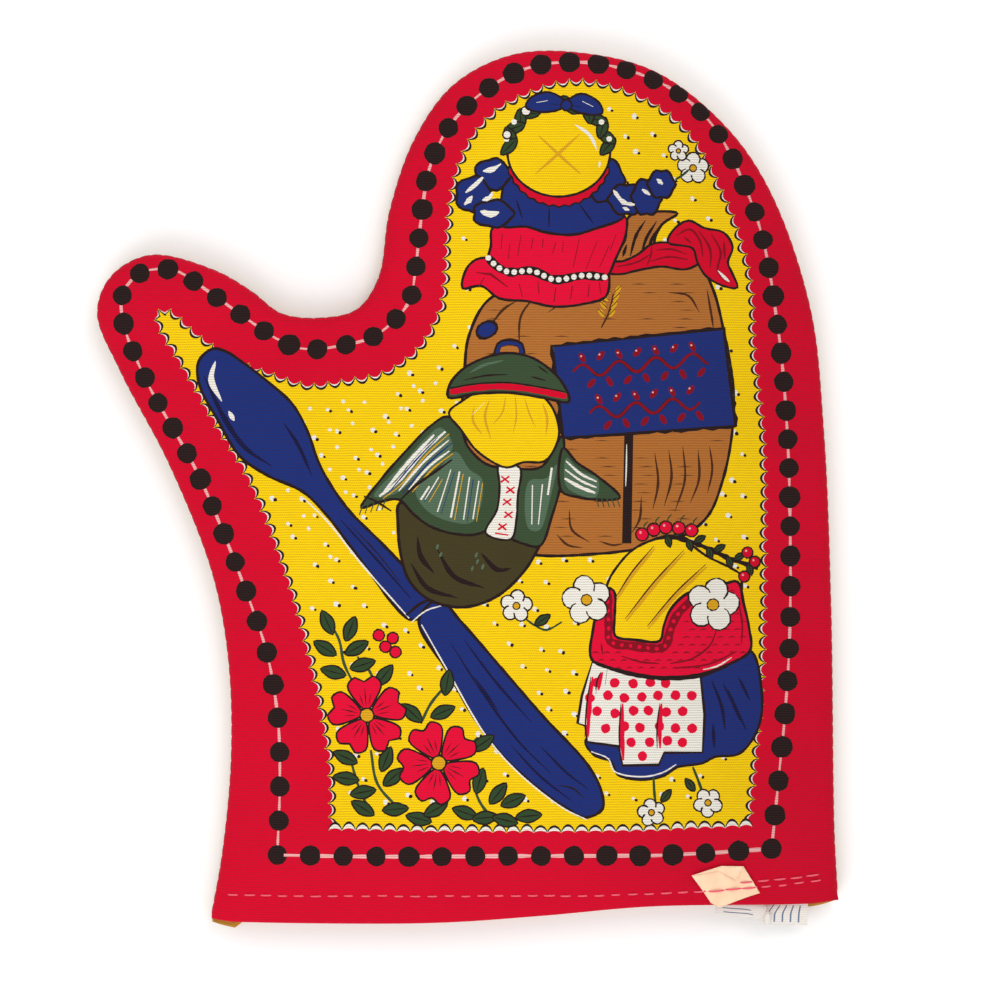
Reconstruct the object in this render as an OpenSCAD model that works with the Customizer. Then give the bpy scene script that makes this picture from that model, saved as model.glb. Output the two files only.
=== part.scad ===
// Padded oven mitt, lying flat: printed front panel up, +Y to the fingertips, thumb on the -X side.
// Every cloth layer is cut at the two fold lines, so that the fingers and the thumb can fold over.

/* [Hand] */
// Length from the lowest point of the cuff edge to the fingertips
mitt_l = 262; // [230:1:330]
// Width across the wrist
wrist_w = 182; // [150:1:220]
// Height of the narrowest point of the wrist above the cuff edge
wrist_y = 53; // [40:1:70]
// How far the cuff corner flares past the wrist on the thumb side
cuff_flare_thumb = 6.4; // [0:0.2:12]
// How far the cuff corner flares past the wrist on the other side
cuff_flare_side = 1.4; // [0:0.2:12]
// How much higher the cuff edge lies at the side away from the thumb
cuff_rise = 5.8; // [0:0.2:10]
// How far the root of the finger bag lies inside the wrist on the thumb side
finger_root_in = 46.5; // [38:0.5:60]
// How much narrower the finger bag's outer side is than the wrist
finger_side_in = 3; // [0:0.5:8]
// Height of the root of the finger bag above the crotch
finger_root_rise = 24.4; // [16:0.2:30]
// How far the fingertip lies from the outer side of the finger bag
fingertip_in = 75.5; // [55:0.5:85]
// Length of the long curve down the outer side of the finger bag
shoulder_l = 114; // [80:1:130]

/* [Thumb] */
// Height of the crotch between thumb and fingers above the cuff edge
crotch_y = 181.6; // [160:0.2:200]
// How far the crotch lies from the root of the finger bag
crotch_w = 20; // [14:0.5:28]
// How far the thumb reaches past the wrist
thumb_reach = 40.5; // [30:0.5:55]
// Height of the thumb's top above the crotch
thumb_rise = 18.8; // [12:0.2:26]
// Width of the rounded end of the thumb
thumb_end_w = 15; // [12:0.5:20]
// Height of the rounded end of the thumb
thumb_end_h = 16.5; // [12:0.5:20]

/* [Layers] */
// Thickness of the outer cotton cloth
shell_t = 0.6; // [0.4:0.05:1.2]
// Thickness of the wadding
wadding_t = 2.6; // [1.5:0.1:5]
// Thickness of the lining
lining_t = 0.4; // [0.2:0.05:0.8]
// Height of the space for the hand
cavity_h = 6.6; // [5.8:0.1:16]
// Gap between one layer and the next
ply_gap = 0.05; // [0.02:0.01:0.1]

/* [Hem and seam] */
// Depth of the turned-in hem at the cuff
hem_depth = 11; // [9.5:0.5:25]
// Distance of the hem stitching from the cuff edge
hem_stitch_y = 8.2; // [5:0.1:9]
// How much higher the stitching lies at the side away from the thumb
hem_stitch_rise = 4.8; // [0:0.2:8]
// Length of one stitch
stitch_l = 3.6; // [2:0.1:5]
// Distance from one stitch to the next
stitch_pitch = 5; // [4.4:0.1:8]
// Width of the sewing thread
thread_w = 0.45; // [0.3:0.05:0.8]
// Height of a stitch
thread_h = 0.25; // [0.15:0.05:0.35]
// Width of the margin that is sewn into the side seam
margin_w = 7; // [5:0.5:10]
// How far the back panel's cuff corner shows below the front panel
back_peek = 2.4; // [0:0.1:4]

/* [Folds] */
// Height of the finger fold above the thumb's top
finger_fold_up = 3.6; // [2:0.2:12]
// Height of the thumb fold's lower end on the side seam
thumb_fold_y = 88; // [70:1:110]
// Gap between the layers on either side of a fold
fold_gap = 0.3; // [0.2:0.05:0.6]

/* [Labels] */
// Width of the paper ticket
ticket_w = 14.4; // [10:0.1:20]
// Height of the paper ticket
ticket_h = 10.4; // [8:0.1:14]
// Tilt of the paper ticket
ticket_tilt = 14; // [0:1:30]
// Distance of the ticket's middle from the outer side of the wrist
ticket_in = 33.5; // [25:0.5:50]
// Thickness of the paper ticket
ticket_t = 0.2; // [0.1:0.05:0.4]
// Width of the care label
label_w = 28; // [15:0.5:35]
// Length of the care label that hangs free below the cuff edge
label_out = 6.2; // [4:0.1:15]
// Length of the care label that is sewn in under the hem
label_in = 9; // [6:0.5:10]
// Thickness of the folded care label
label_t = 0.35; // [0.2:0.05:0.6]
// Gap that stands for the care label's fold line
label_gap = 0.8; // [0.7:0.1:1.5]
// Distance of the care label's middle from the outer side of the wrist
label_mid_in = 22; // [15:0.5:40]

/* [Hidden] */

wrist_left = -wrist_w / 2;
wrist_right = wrist_w / 2;
finger_right = wrist_right - finger_side_in;
finger_left = wrist_left + finger_root_in;
fingertip_x = finger_right - fingertip_in;
crotch_x = finger_left - crotch_w;
finger_root_y = crotch_y + finger_root_rise;
thumb_top_y = crotch_y + thumb_rise;
thumb_end_y = thumb_top_y - thumb_end_h;
thumb_left = wrist_left - thumb_reach;
thumb_top_x = thumb_left + thumb_end_w;
finger_fold_y = thumb_top_y + finger_fold_up;

// heights of the layers, from the surface that the mitt lies on
back_wadding_z = shell_t + ply_gap;
back_lining_z = back_wadding_z + wadding_t + ply_gap;
cavity_z = back_lining_z + lining_t;
front_lining_z = cavity_z + cavity_h;
front_wadding_z = front_lining_z + lining_t + ply_gap;
front_shell_z = front_wadding_z + wadding_t + ply_gap;
top_z = front_shell_z + shell_t;
seam_z = top_z / 2;
lip_h = cavity_z;                           // how far a panel's rolled edge reaches over its layers
front_return_z = front_lining_z - ply_gap - shell_t;
back_return_z = cavity_z + ply_gap;

skin = shell_t + ply_gap;                   // from the outline to what lies inside the shells
groove_in = thread_w + 2 * ply_gap;         // depth of the seam groove that holds the thread
margin_in = groove_in + margin_w;
far = 2 * mitt_l;

// how full the rounded corners are: 2 is an ellipse, more is squarer
crotch_full = 2.3;
dome_full = 2.15;
underside_lag = 1.6;                        // how late the thumb's underside swings out

// quarter of a superellipse, turning from angle a0 to a1 in n steps
function quarter(centre, radii, e, a0, a1, n) = [
    for (i = [0:n])
        let (a = a0 + (a1 - a0) * i / n)
        centre + [
            radii.x * sign(cos(a)) * pow(abs(cos(a)), 2 / e),
            radii.y * sign(sin(a)) * pow(abs(sin(a)), 2 / e)
        ]
];
function ease(t) = (1 - cos(180 * t)) / 2;
function drop_ends(p) = [for (i = [1:len(p) - 2]) p[i]];

// the sewn side of the outline, from the cuff round thumb and fingers back to the cuff
function underside_x(y) =
    wrist_left - thumb_reach * ease(pow((y - wrist_y) / (thumb_end_y - wrist_y), underside_lag));
thumb_underside = [
    for (i = [0:9])
        let (y = wrist_y + (thumb_end_y - wrist_y) * i / 9)
        [underside_x(y), y]
];
thumb_end = quarter([thumb_top_x, thumb_end_y], [thumb_end_w, thumb_end_h], 2, 180, 90, 6);
thumb_upper = [
    for (i = [0:8])
        let (t = i / 8)
        [thumb_top_x + (crotch_x - thumb_top_x) * t, thumb_top_y - thumb_rise * ease(t)]
];
crotch = quarter([crotch_x, finger_root_y], [crotch_w, finger_root_rise], crotch_full, 270, 360, 6);
inner_dome = quarter([fingertip_x, finger_root_y],
    [fingertip_x - finger_left, mitt_l - finger_root_y], dome_full, 180, 90, 9);
outer_dome = quarter([fingertip_x, mitt_l - shoulder_l], [fingertip_in, shoulder_l], 2, 90, 0, 12);
side_line = concat(
    [[wrist_left - cuff_flare_thumb, 0], [wrist_left - 0.4 * cuff_flare_thumb, 0.4 * wrist_y]],
    thumb_underside,
    drop_ends(thumb_end),
    thumb_upper,
    drop_ends(crotch),
    inner_dome,
    drop_ends(outer_dome),
    [
        [finger_right, mitt_l - shoulder_l],
        [wrist_right - 0.8, 0.56 * (mitt_l - shoulder_l)],
        [wrist_right, wrist_y / 2],
        [wrist_right + cuff_flare_side, cuff_rise]
    ]
);

// the line moved sideways by d, into the mitt; its two ends stay at their height
function unit(v) = v / norm(v);
function side_dir(p, i) =
    unit(p[min(i + 1, len(p) - 1)] - p[i] + (i > 0 ? p[i] - p[i - 1] : [0, 0]));
function moved_in(p, d) = [
    for (i = [0:len(p) - 1])
        let (u = side_dir(p, i), end = i == 0 || i == len(p) - 1)
        p[i] + (end ? [d / u.y, 0] : d * [u.y, -u.x])
];

// the cuff edge from the side back to the thumb side, raised by lift
function cuff_line(lift, peek) = [
    [wrist_right + cuff_flare_side, cuff_rise + lift],
    [0.45 * wrist_right, 0.86 * cuff_rise + lift],
    [-0.15 * wrist_right, lift],
    [wrist_left + 4, lift],
    [wrist_left - cuff_flare_thumb, lift - peek]
];
// the point that is lift higher than a, on the way from a to b
function higher(a, b, lift) = a + (b - a) * lift / (b.y - a.y);
// a side line whose two ends slide up from the cuff edge, or run on past it where lift is negative
function ends_moved(p, lift) =
    let (n = len(p) - 1)
    lift < 0
        ? concat([p[0] + [0, lift]], p, [p[n] + [0, lift]])
        : concat([higher(p[0], p[1], lift)], drop_ends(p), [higher(p[n], p[n - 1], lift)]);
// the whole pattern piece: in from the seam by side_in, up from the cuff edge by cuff_in
function pattern(side_in, cuff_in, peek = 0) = concat(
    ends_moved(moved_in(side_line, side_in), cuff_in),
    [for (i = [1:3]) cuff_line(cuff_in, peek)[i]],
    peek > 0 ? [cuff_line(cuff_in, peek)[4]] : []
);

// the box round the whole mitt, which sets the origin
label_x = wrist_right - label_mid_in;
label_y = cuff_y(label_x - label_w / 2) - fold_gap;
label_end_y = label_y - label_gap;
low_corner = [
    min([for (p = side_line) p.x]),
    min(label_end_y - label_out, -back_peek)
];
high_corner = [max([for (p = side_line) p.x]), mitt_l];
middle = (low_corner + high_corner) / 2;

// the fold lines
thumb_fold_top = [crotch_x, crotch_y];
thumb_fold_low = [underside_x(thumb_fold_y), thumb_fold_y];
thumb_fold_dir = unit(thumb_fold_top - thumb_fold_low);
thumb_fold_out = [-thumb_fold_dir.y, thumb_fold_dir.x];

// everything on the thumb side of a line that lies d outside the thumb fold
module thumb_side(d) {
    a = thumb_fold_low - far * thumb_fold_dir + d * thumb_fold_out;
    b = thumb_fold_top + far * thumb_fold_dir + d * thumb_fold_out;
    polygon([a, b, b + far * thumb_fold_out, a + far * thumb_fold_out]);
}

module finger_side(d)
    translate([-far, finger_fold_y + d]) square([2 * far, far]);

// what is drawn in it is cut down to one zone and put in the mitt's own frame
module zone(name) {
    translate([-middle.x, -middle.y, 0])
        intersection() {
            children();
            translate([0, 0, -1]) linear_extrude(top_z + 2) {
                if (name == "thumb") difference() {
                    thumb_side(fold_gap / 2);
                    finger_side(0);
                }
                if (name == "fingers") difference() {
                    finger_side(fold_gap / 2);
                    thumb_side(0);
                }
                if (name == "hand") difference() {
                    translate([-far, -far]) square(2 * far);
                    thumb_side(-fold_gap / 2);
                    finger_side(-fold_gap / 2);
                }
            }
        }
}

module layer(z, h, side_in, cuff_in, peek = 0)
    translate([0, 0, z]) linear_extrude(h) polygon(pattern(side_in, cuff_in, peek));

// the strip of the pattern along the cuff, from the cuff edge up to depth
module cuff_strip(z, h, depth, peek)
    translate([0, 0, z]) linear_extrude(h) difference() {
        polygon(pattern(0, 0, peek));
        polygon(pattern(-shell_t, depth, peek));
    }

// a panel with its rolled side edge and its turned-in hem, lying face down from z = 0
module panel(peek) {
    return_z = lip_h + ply_gap;
    difference() {
        layer(0, lip_h, 0, 0, peek);
        layer(shell_t, lip_h, shell_t, -far / 4);
    }
    cuff_strip(0, return_z + shell_t, shell_t, peek);
    cuff_strip(return_z, shell_t, hem_depth, peek);
}

module front_panel()
    translate([0, 0, top_z]) mirror([0, 0, 1]) panel(0);

module back_panel()
    difference() {
        panel(back_peek);
        hem_row(stitch_l + 0.2, thread_w + 0.2, 0, thread_h + 0.1);
    }

// a ring along the side seam, between two distances from the outline
module seam_ring(z, h, from_in, to_in, cuff_in)
    translate([0, 0, z]) linear_extrude(h) difference() {
        polygon(pattern(from_in, cuff_in));
        polygon(pattern(to_in, -far / 4));
    }

module seam_margin()
    difference() {
        union() {
            seam_ring(cavity_z + ply_gap, cavity_h - 2 * ply_gap, 0, margin_in, hem_depth + fold_gap);
            seam_ring(back_return_z + shell_t + ply_gap,
                front_return_z - back_return_z - shell_t - 2 * ply_gap, 0, margin_in, 0);
        }
        seam_ring(seam_z - thread_w / 2 - ply_gap, thread_w + 2 * ply_gap, -1, groove_in, -1);
    }

module seam_thread()
    seam_ring(seam_z - thread_w / 2, thread_w, ply_gap, ply_gap + thread_w, 0);

// height of the cuff edge at x
function cuff_y(x) =
    let (c = cuff_line(0, 0))
    x > c[1].x ? c[1].y + (c[0].y - c[1].y) * (x - c[1].x) / (c[0].x - c[1].x)
    : x > c[2].x ? c[2].y + (c[1].y - c[2].y) * (x - c[2].x) / (c[1].x - c[2].x)
    : 0;

// height of the hem stitching at x: it runs level, then rises at the side away from the thumb
hem_level_x = 0;
function hem_y(x) =
    hem_stitch_y + hem_stitch_rise * pow(max(0, (x - hem_level_x) / (wrist_right - hem_level_x)), 2);

// a row of stitches along the cuff from z to z + h, which passes over the ticket where it meets it
module hem_row(l, w, z, h)
    for (x = [wrist_left + 1 : stitch_pitch : wrist_right - 4])
        translate([x - l / 2, hem_y(x) - w / 2, z + over_ticket(x, z)])
            cube([l, w, h]);

// how far the ticket lifts a stitch at x in a row at height z
ticket_x = wrist_right - ticket_in;
function over_ticket(x, z) =
    z >= top_z && abs(x - ticket_x) < ticket_w / 2 + stitch_l ? ticket_t : 0;

// where the stitching ran over its own start
restart_n = 5;
restart_lift = 1.8;
module restart_row()
    for (i = [0:restart_n - 1]) {
        x = wrist_right - 3 - i * stitch_pitch;
        translate([x - stitch_l / 2, hem_y(x) + restart_lift, top_z])
            cube([stitch_l, thread_w, thread_h]);
    }

// the ticket is caught by the hem stitching and has one corner turned under
ticket_corner = 3;
ticket_up = 0.6;                            // how far its middle lies above the stitching
module ticket()
    translate([ticket_x, hem_y(ticket_x) + ticket_up, top_z])
        rotate(ticket_tilt)
            linear_extrude(ticket_t)
                polygon([
                    [-ticket_w / 2 + ticket_corner, -ticket_h / 2],
                    [ticket_w / 2, -ticket_h / 2],
                    [ticket_w / 2, ticket_h / 2],
                    [-ticket_w / 2, ticket_h / 2],
                    [-ticket_w / 2, -ticket_h / 2 + ticket_corner]
                ]);

module label_strip(y0, y1)
    translate([label_x - label_w / 2, y0, front_return_z - ply_gap - label_t])
        cube([label_w, y1 - y0, label_t]);

module front_shell_hand() color("crimson") zone("hand") front_panel();
module front_shell_fingers() color("crimson") zone("fingers") front_panel();
module front_shell_thumb() color("crimson") zone("thumb") front_panel();
module back_shell_hand() color("goldenrod") zone("hand") back_panel();
module back_shell_fingers() color("goldenrod") zone("fingers") back_panel();
module back_shell_thumb() color("goldenrod") zone("thumb") back_panel();

module front_wadding() layer(front_wadding_z, wadding_t, skin, skin);
module back_wadding() layer(back_wadding_z, wadding_t, skin, skin);
module front_wadding_hand() color("white") zone("hand") front_wadding();
module front_wadding_fingers() color("white") zone("fingers") front_wadding();
module front_wadding_thumb() color("white") zone("thumb") front_wadding();
module back_wadding_hand() color("white") zone("hand") back_wadding();
module back_wadding_fingers() color("white") zone("fingers") back_wadding();
module back_wadding_thumb() color("white") zone("thumb") back_wadding();

module front_lining() layer(front_lining_z, lining_t, skin, skin);
module back_lining() layer(back_lining_z, lining_t, skin, skin);
module front_lining_hand() color("linen") zone("hand") front_lining();
module front_lining_fingers() color("linen") zone("fingers") front_lining();
module front_lining_thumb() color("linen") zone("thumb") front_lining();
module back_lining_hand() color("linen") zone("hand") back_lining();
module back_lining_fingers() color("linen") zone("fingers") back_lining();
module back_lining_thumb() color("linen") zone("thumb") back_lining();

module seam_margin_hand() color("wheat") zone("hand") seam_margin();
module seam_margin_fingers() color("wheat") zone("fingers") seam_margin();
module seam_margin_thumb() color("wheat") zone("thumb") seam_margin();
module seam_thread_hand() color("firebrick") zone("hand") seam_thread();
module seam_thread_fingers() color("firebrick") zone("fingers") seam_thread();
module seam_thread_thumb() color("firebrick") zone("thumb") seam_thread();

module front_hem_stitches() color("lightcoral") zone("hand") hem_row(stitch_l, thread_w, top_z, thread_h);
module front_hem_restart() color("lightcoral") zone("hand") restart_row();
module back_hem_stitches() color("goldenrod") zone("hand") hem_row(stitch_l, thread_w, ply_gap, thread_h);
module price_ticket() color("bisque") zone("hand") ticket();
module care_label_root() color("whitesmoke") zone("hand") label_strip(label_y, label_y + label_in);
module care_label_end()
    color("whitesmoke") zone("hand") label_strip(label_end_y - label_out, label_end_y);

front_shell_hand();
front_shell_fingers();
front_shell_thumb();
back_shell_hand();
back_shell_fingers();
back_shell_thumb();
front_wadding_hand();
front_wadding_fingers();
front_wadding_thumb();
back_wadding_hand();
back_wadding_fingers();
back_wadding_thumb();
front_lining_hand();
front_lining_fingers();
front_lining_thumb();
back_lining_hand();
back_lining_fingers();
back_lining_thumb();
seam_margin_hand();
seam_margin_fingers();
seam_margin_thumb();
seam_thread_hand();
seam_thread_fingers();
seam_thread_thumb();
front_hem_stitches();
front_hem_restart();
back_hem_stitches();
price_ticket();
care_label_root();
care_label_end();
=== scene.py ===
import math
import random

import bpy
import numpy as np
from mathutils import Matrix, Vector, kdtree
from mathutils.geometry import delaunay_2d_cdt


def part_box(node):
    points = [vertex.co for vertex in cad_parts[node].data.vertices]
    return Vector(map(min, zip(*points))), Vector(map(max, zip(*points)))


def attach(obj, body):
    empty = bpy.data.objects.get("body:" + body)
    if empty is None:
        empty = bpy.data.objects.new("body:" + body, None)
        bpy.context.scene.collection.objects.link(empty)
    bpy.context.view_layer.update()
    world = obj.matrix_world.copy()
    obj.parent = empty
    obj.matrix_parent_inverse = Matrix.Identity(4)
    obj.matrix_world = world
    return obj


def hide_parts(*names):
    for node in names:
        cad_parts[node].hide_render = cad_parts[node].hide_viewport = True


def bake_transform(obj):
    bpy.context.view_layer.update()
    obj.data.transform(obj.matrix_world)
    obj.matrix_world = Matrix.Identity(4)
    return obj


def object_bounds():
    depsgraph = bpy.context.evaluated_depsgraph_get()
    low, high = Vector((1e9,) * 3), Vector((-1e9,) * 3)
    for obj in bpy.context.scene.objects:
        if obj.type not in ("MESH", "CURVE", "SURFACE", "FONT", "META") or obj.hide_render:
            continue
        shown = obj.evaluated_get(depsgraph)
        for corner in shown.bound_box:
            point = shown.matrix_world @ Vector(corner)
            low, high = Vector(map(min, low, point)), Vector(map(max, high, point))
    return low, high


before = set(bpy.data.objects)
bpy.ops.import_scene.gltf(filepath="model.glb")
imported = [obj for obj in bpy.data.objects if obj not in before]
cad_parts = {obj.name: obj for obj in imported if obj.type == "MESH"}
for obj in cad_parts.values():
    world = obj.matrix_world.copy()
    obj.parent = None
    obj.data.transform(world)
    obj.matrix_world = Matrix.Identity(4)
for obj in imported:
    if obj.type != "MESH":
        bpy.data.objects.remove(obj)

cadLow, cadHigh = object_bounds()
print("frame loaded, the mitt is", [round(v * 1000, 1) for v in cadHigh - cadLow], "mm")

# lengths are millimetres on the mitt: x from its middle, y up from the cuff edge, z up from the table
middleX = (cadLow.x + cadHigh.x) / 2
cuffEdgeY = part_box("front_shell_hand")[0].y
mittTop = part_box("front_shell_hand")[1].z * 1000


def inFrame(points):
    moved = np.array(points, float) / 1000
    moved[..., 0] += middleX
    moved[..., 1] += cuffEdgeY
    return moved


# camera, light and table

studio = {"picture": 0.3, "aim": (9.7, 126.9, 12), "lens": 100, "sky": 0.82, "key": 0.36, "fill": 0.58}


def makeCamera():
    data = bpy.data.cameras.new("overheadCamera")
    data.lens = studio["lens"]
    data.sensor_width = 36
    data.clip_start = 0.01
    camera = bpy.data.objects.new("overheadCamera", data)
    bpy.context.scene.collection.objects.link(camera)
    aim = inFrame(studio["aim"])
    camera.location = Vector(aim) + Vector((0, 0, studio["picture"] * studio["lens"] / 36))
    bpy.context.scene.camera = camera


def makeLight(name, place, size, power):
    data = bpy.data.lights.new(name, "AREA")
    data.shape = "DISK"
    data.size = size
    data.energy = power
    lamp = bpy.data.objects.new(name, data)
    lamp.location = place
    lamp.rotation_euler = (-Vector(place)).to_track_quat("-Z", "Y").to_euler()
    bpy.context.scene.collection.objects.link(lamp)


def makeStudio():
    world = bpy.data.worlds.new("studioSky")
    world.use_nodes = True
    world.node_tree.nodes["Background"].inputs["Color"].default_value = (1, 1, 1, 1)
    world.node_tree.nodes["Background"].inputs["Strength"].default_value = studio["sky"]
    bpy.context.scene.world = world
    bpy.context.scene.view_settings.view_transform = "Standard"
    makeLight("keyLight", (0.4, 0.6, 1.0), 0.8, studio["key"] * 9)
    makeLight("fillLight", (-0.35, -0.9, 0.9), 0.9, studio["fill"] * 9)
    bpy.ops.mesh.primitive_grid_add(x_subdivisions=4, y_subdivisions=4, size=8, location=(0, 0, -0.0004))
    table = bpy.context.object
    table.name = "whiteTable"
    paper = bpy.data.materials.new("whitePaper")
    paper.use_nodes = True
    shader = paper.node_tree.nodes["Principled BSDF"]
    shader.inputs["Base Color"].default_value = (0.99, 0.99, 0.99, 1)
    shader.inputs["Roughness"].default_value = 0.9
    table.data.materials.append(paper)


makeCamera()
makeStudio()
print("camera and light ready")

# drawing helpers


def smoothLine(keys, step=2.0, closed=False):
    keys = [np.array(k, float) for k in keys]
    count = len(keys)
    line = []
    for i in range(count if closed else count - 1):
        if closed:
            p0, p1, p2, p3 = (keys[(i + k) % count] for k in (-1, 0, 1, 2))
        else:
            p1, p2 = keys[i], keys[i + 1]
            p0 = keys[i - 1] if i > 0 else 2 * p1 - p2
            p3 = keys[i + 2] if i + 2 < count else 2 * p2 - p1
        t1 = max(np.linalg.norm(p1 - p0) ** 0.5, 1e-3)
        t2 = t1 + max(np.linalg.norm(p2 - p1) ** 0.5, 1e-3)
        t3 = t2 + max(np.linalg.norm(p3 - p2) ** 0.5, 1e-3)
        pieces = max(1, math.ceil(np.linalg.norm(p2 - p1) / step))
        for t in np.linspace(t1, t2, pieces, endpoint=False):
            a1 = (t1 - t) / t1 * p0 + t / t1 * p1
            a2 = (t2 - t) / (t2 - t1) * p1 + (t - t1) / (t2 - t1) * p2
            a3 = (t3 - t) / (t3 - t2) * p2 + (t - t2) / (t3 - t2) * p3
            b1 = (t2 - t) / t2 * a1 + t / t2 * a2
            b2 = (t3 - t) / (t3 - t1) * a2 + (t - t1) / (t3 - t1) * a3
            line.append((t2 - t) / (t2 - t1) * b1 + (t - t1) / (t2 - t1) * b2)
    if not closed:
        line.append(keys[-1])
    return np.array(line)


def lengthsAlong(line):
    return np.concatenate([[0], np.cumsum(np.linalg.norm(np.diff(line, axis=0), axis=1))])


def pointsAlong(line, places):
    along = lengthsAlong(line)
    return np.stack([np.interp(places, along, line[:, k]) for k in range(line.shape[1])], 1)


def evenLine(line, step):
    total = lengthsAlong(line)[-1]
    return pointsAlong(line, np.linspace(0, total, max(2, round(total / step)) + 1))


def sideways(line):
    along = np.gradient(line, axis=0)
    along /= np.linalg.norm(along, axis=1)[:, None]
    return np.stack([-along[:, 1], along[:, 0]], 1)


def insidePolygon(points, polygon):
    x, y = points[:, 0], points[:, 1]
    turns = np.zeros(len(points), int)
    for (ax, ay), (bx, by) in zip(polygon, np.roll(polygon, -1, axis=0)):
        if ay == by:
            continue
        side = (bx - ax) * (y - ay) - (x - ax) * (by - ay)
        turns += ((ay <= y) & (by > y) & (side > 0)).astype(int)
        turns -= ((ay > y) & (by <= y) & (side < 0)).astype(int)
    return turns != 0


def evenLoop(keys, step):
    keys = [np.array(k, float) for k in keys]
    line = []
    for a, b in zip(keys, keys[1:] + keys[:1]):
        line.extend(evenLine(np.array([a, b]), step)[:-1])
    return np.array(line)


def turned(x, y, dx, dy, turn):
    # the point that lies dx, dy from x, y after a turn about it
    return x + dx * math.cos(turn) - dy * math.sin(turn), y + dx * math.sin(turn) + dy * math.cos(turn)


def ellipse(x, y, width, height, angles):
    return [(x + width * math.cos(a), y + height * math.sin(a)) for a in angles]


def ease(t):
    t = np.clip(t, 0, 1)
    return t * t * (3 - 2 * t)


# the mitt's cut: the sewn side from the left cuff corner round thumb and fingers to the right cuff corner

cut = {
    "side": [
        (-77.7, 0), (-74, 21), (-71.4, 50), (-72.3, 79), (-77.2, 105), (-90.3, 138), (-105, 166),
        (-111.9, 183.5), (-107.6, 194.6), (-96, 200.8), (-77, 196.4), (-65.6, 190), (-56.5, 183.2),
        (-45, 181.8), (-33.5, 184.4), (-26.9, 194), (-23.6, 214), (-16, 236), (-4, 252.5), (13.9, 261.4),
        (35, 261.8), (57, 256), (77.5, 240), (91, 220.5), (103.3, 185), (107.4, 148), (109.6, 95),
        (110.6, 27), (111.6, 8)
    ],
    "cuff": [(111.6, 5.7), (99.7, 5.4), (55.6, 4.9), (22, 2), (-10.4, -0.1), (-77.7, 0)],
    "thumbFold": ((-72.9, 88.0), (-44.9, 181.6)),
    "fingerFold": 204.0,
    "rightShade": 0.16,                              # how much painted shade darkens the printed colours towards the right
    "peek": [(-78, 1.2), (-76, 2.2), (-72, 2.9), (-70.3, 3.0), (-69.5, 1.4), (-66, 0.7), (-48, 0.3), (-40, 0),
             (90, 0), (94, 0.9), (98, 1.7), (102, 2.1), (106, 1.9), (110, 1.2), (112, 0.5)]
}

form = {
    "seamZ": 6.0, "top": mittTop, "edgeRoll": 2.8, "edgeShare": 0.4, "crown": 30, "backRoll": 7.5,
    "mouthDrop": 0.7, "pucker": 0.42, "wave": 0.35, "stitchDent": 0.42,
    "wadding": 2.6, "underShell": 0.65, "overLining": 0.22, "foldRoom": 0.9, "hemThin": 0.9,
    "hemDepth": 11.0, "hemFold": 4.1, "hemRoll": 1.1, "hemTurn": 5.2,
    "foldRows": 2.4, "fingerBend": 30, "thumbBend": 27
}

sideCurve = smoothLine(cut["side"], 1.5)
sideLine = evenLine(sideCurve, 2.2)
sideAlong = lengthsAlong(sideLine)
cuffKeys = smoothLine(cut["cuff"][::-1], 3)


def cuffY(x, back=False):
    y = np.interp(x, cuffKeys[:, 0], cuffKeys[:, 1])
    return y - (np.interp(x, *zip(*cut["peek"])) if back else 0)


def hemY(x):
    return 8.2 + 4.8 * np.clip((np.asarray(x) - 19.6) / 91, 0, 2) ** 2


def nearSide(points):
    points = np.asarray(points, float)
    depth, along = np.empty(len(points)), np.empty(len(points))
    a, b = sideLine[:-1], sideLine[1:]
    step = b - a
    length2 = (step ** 2).sum(1)
    for first in range(0, len(points), 3000):
        block = points[first:first + 3000]
        gap = block[:, None, :] - a[None]
        t = np.clip((gap * step).sum(2) / length2, 0, 1)
        far = np.linalg.norm(gap - t[..., None] * step, axis=2)
        best = far.argmin(1)
        rows = np.arange(len(block))
        depth[first:first + 3000] = far[rows, best]
        along[first:first + 3000] = sideAlong[best] + t[rows, best] * np.sqrt(length2[best])
    return depth, along


def puckers(along, seed):
    return (np.sin(along / 2.3 + seed) + 0.8 * np.sin(along / 1.37 + 2.1 * seed)
            + 1.1 * np.sin(along / 5.9 + 0.7 * seed)) / 2.9


simulated = {"front": None}    # relief from the cloth simulation


def frontHeight(points, plain=False):
    depth, along = nearSide(points)
    x, y = points[:, 0], points[:, 1]
    top = form["top"] - form["mouthDrop"] * np.exp(-((y - cuffY(x)) / 16) ** 2)
    rise = top - form["seamZ"] - 0.5
    roll = np.sqrt(1 - (1 - np.clip(depth / form["edgeRoll"], 0, 1)) ** 2)
    swell = 1 - (1 - np.clip(depth / form["crown"], 0, 1)) ** 2.4
    height = form["seamZ"] + 0.5 + rise * (form["edgeShare"] * roll + (1 - form["edgeShare"]) * swell)
    if plain:
        return height, depth
    height += form["pucker"] * puckers(along, 1.0) * np.exp(-((depth - 5) / 4.5) ** 2)
    height += form["wave"] * ease(depth / 20) * (
        np.sin(x / 17 + y / 41 + 1) * np.sin(y / 26 - x / 60) - 0.4)
    nearStitch = np.exp(-((y - hemY(x)) / 1.3) ** 2)
    height -= form["stitchDent"] * nearStitch * ease(depth / 3) * (1 + 0.35 * np.sin(x * 2 * np.pi / 5))
    if simulated["front"] is not None:
        height += simulated["front"](points)
    return height, depth


def backHeight(points, plain=False):
    depth, along = nearSide(points)
    roll = np.sqrt(1 - (1 - np.clip(depth / form["backRoll"], 0, 1)) ** 2)
    height = (form["seamZ"] - 0.5) * (1 - roll)
    if not plain:
        height += 0.25 * (1 + puckers(along, 4.0)) * np.exp(-((depth - 4) / 3) ** 2)
        height += 0.45 * np.exp(-((points[:, 1] - hemY(points[:, 0])) / 1.4) ** 2)
    return height, depth


heightOf = {False: frontHeight, True: backHeight}      # by whether it is the back


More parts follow.
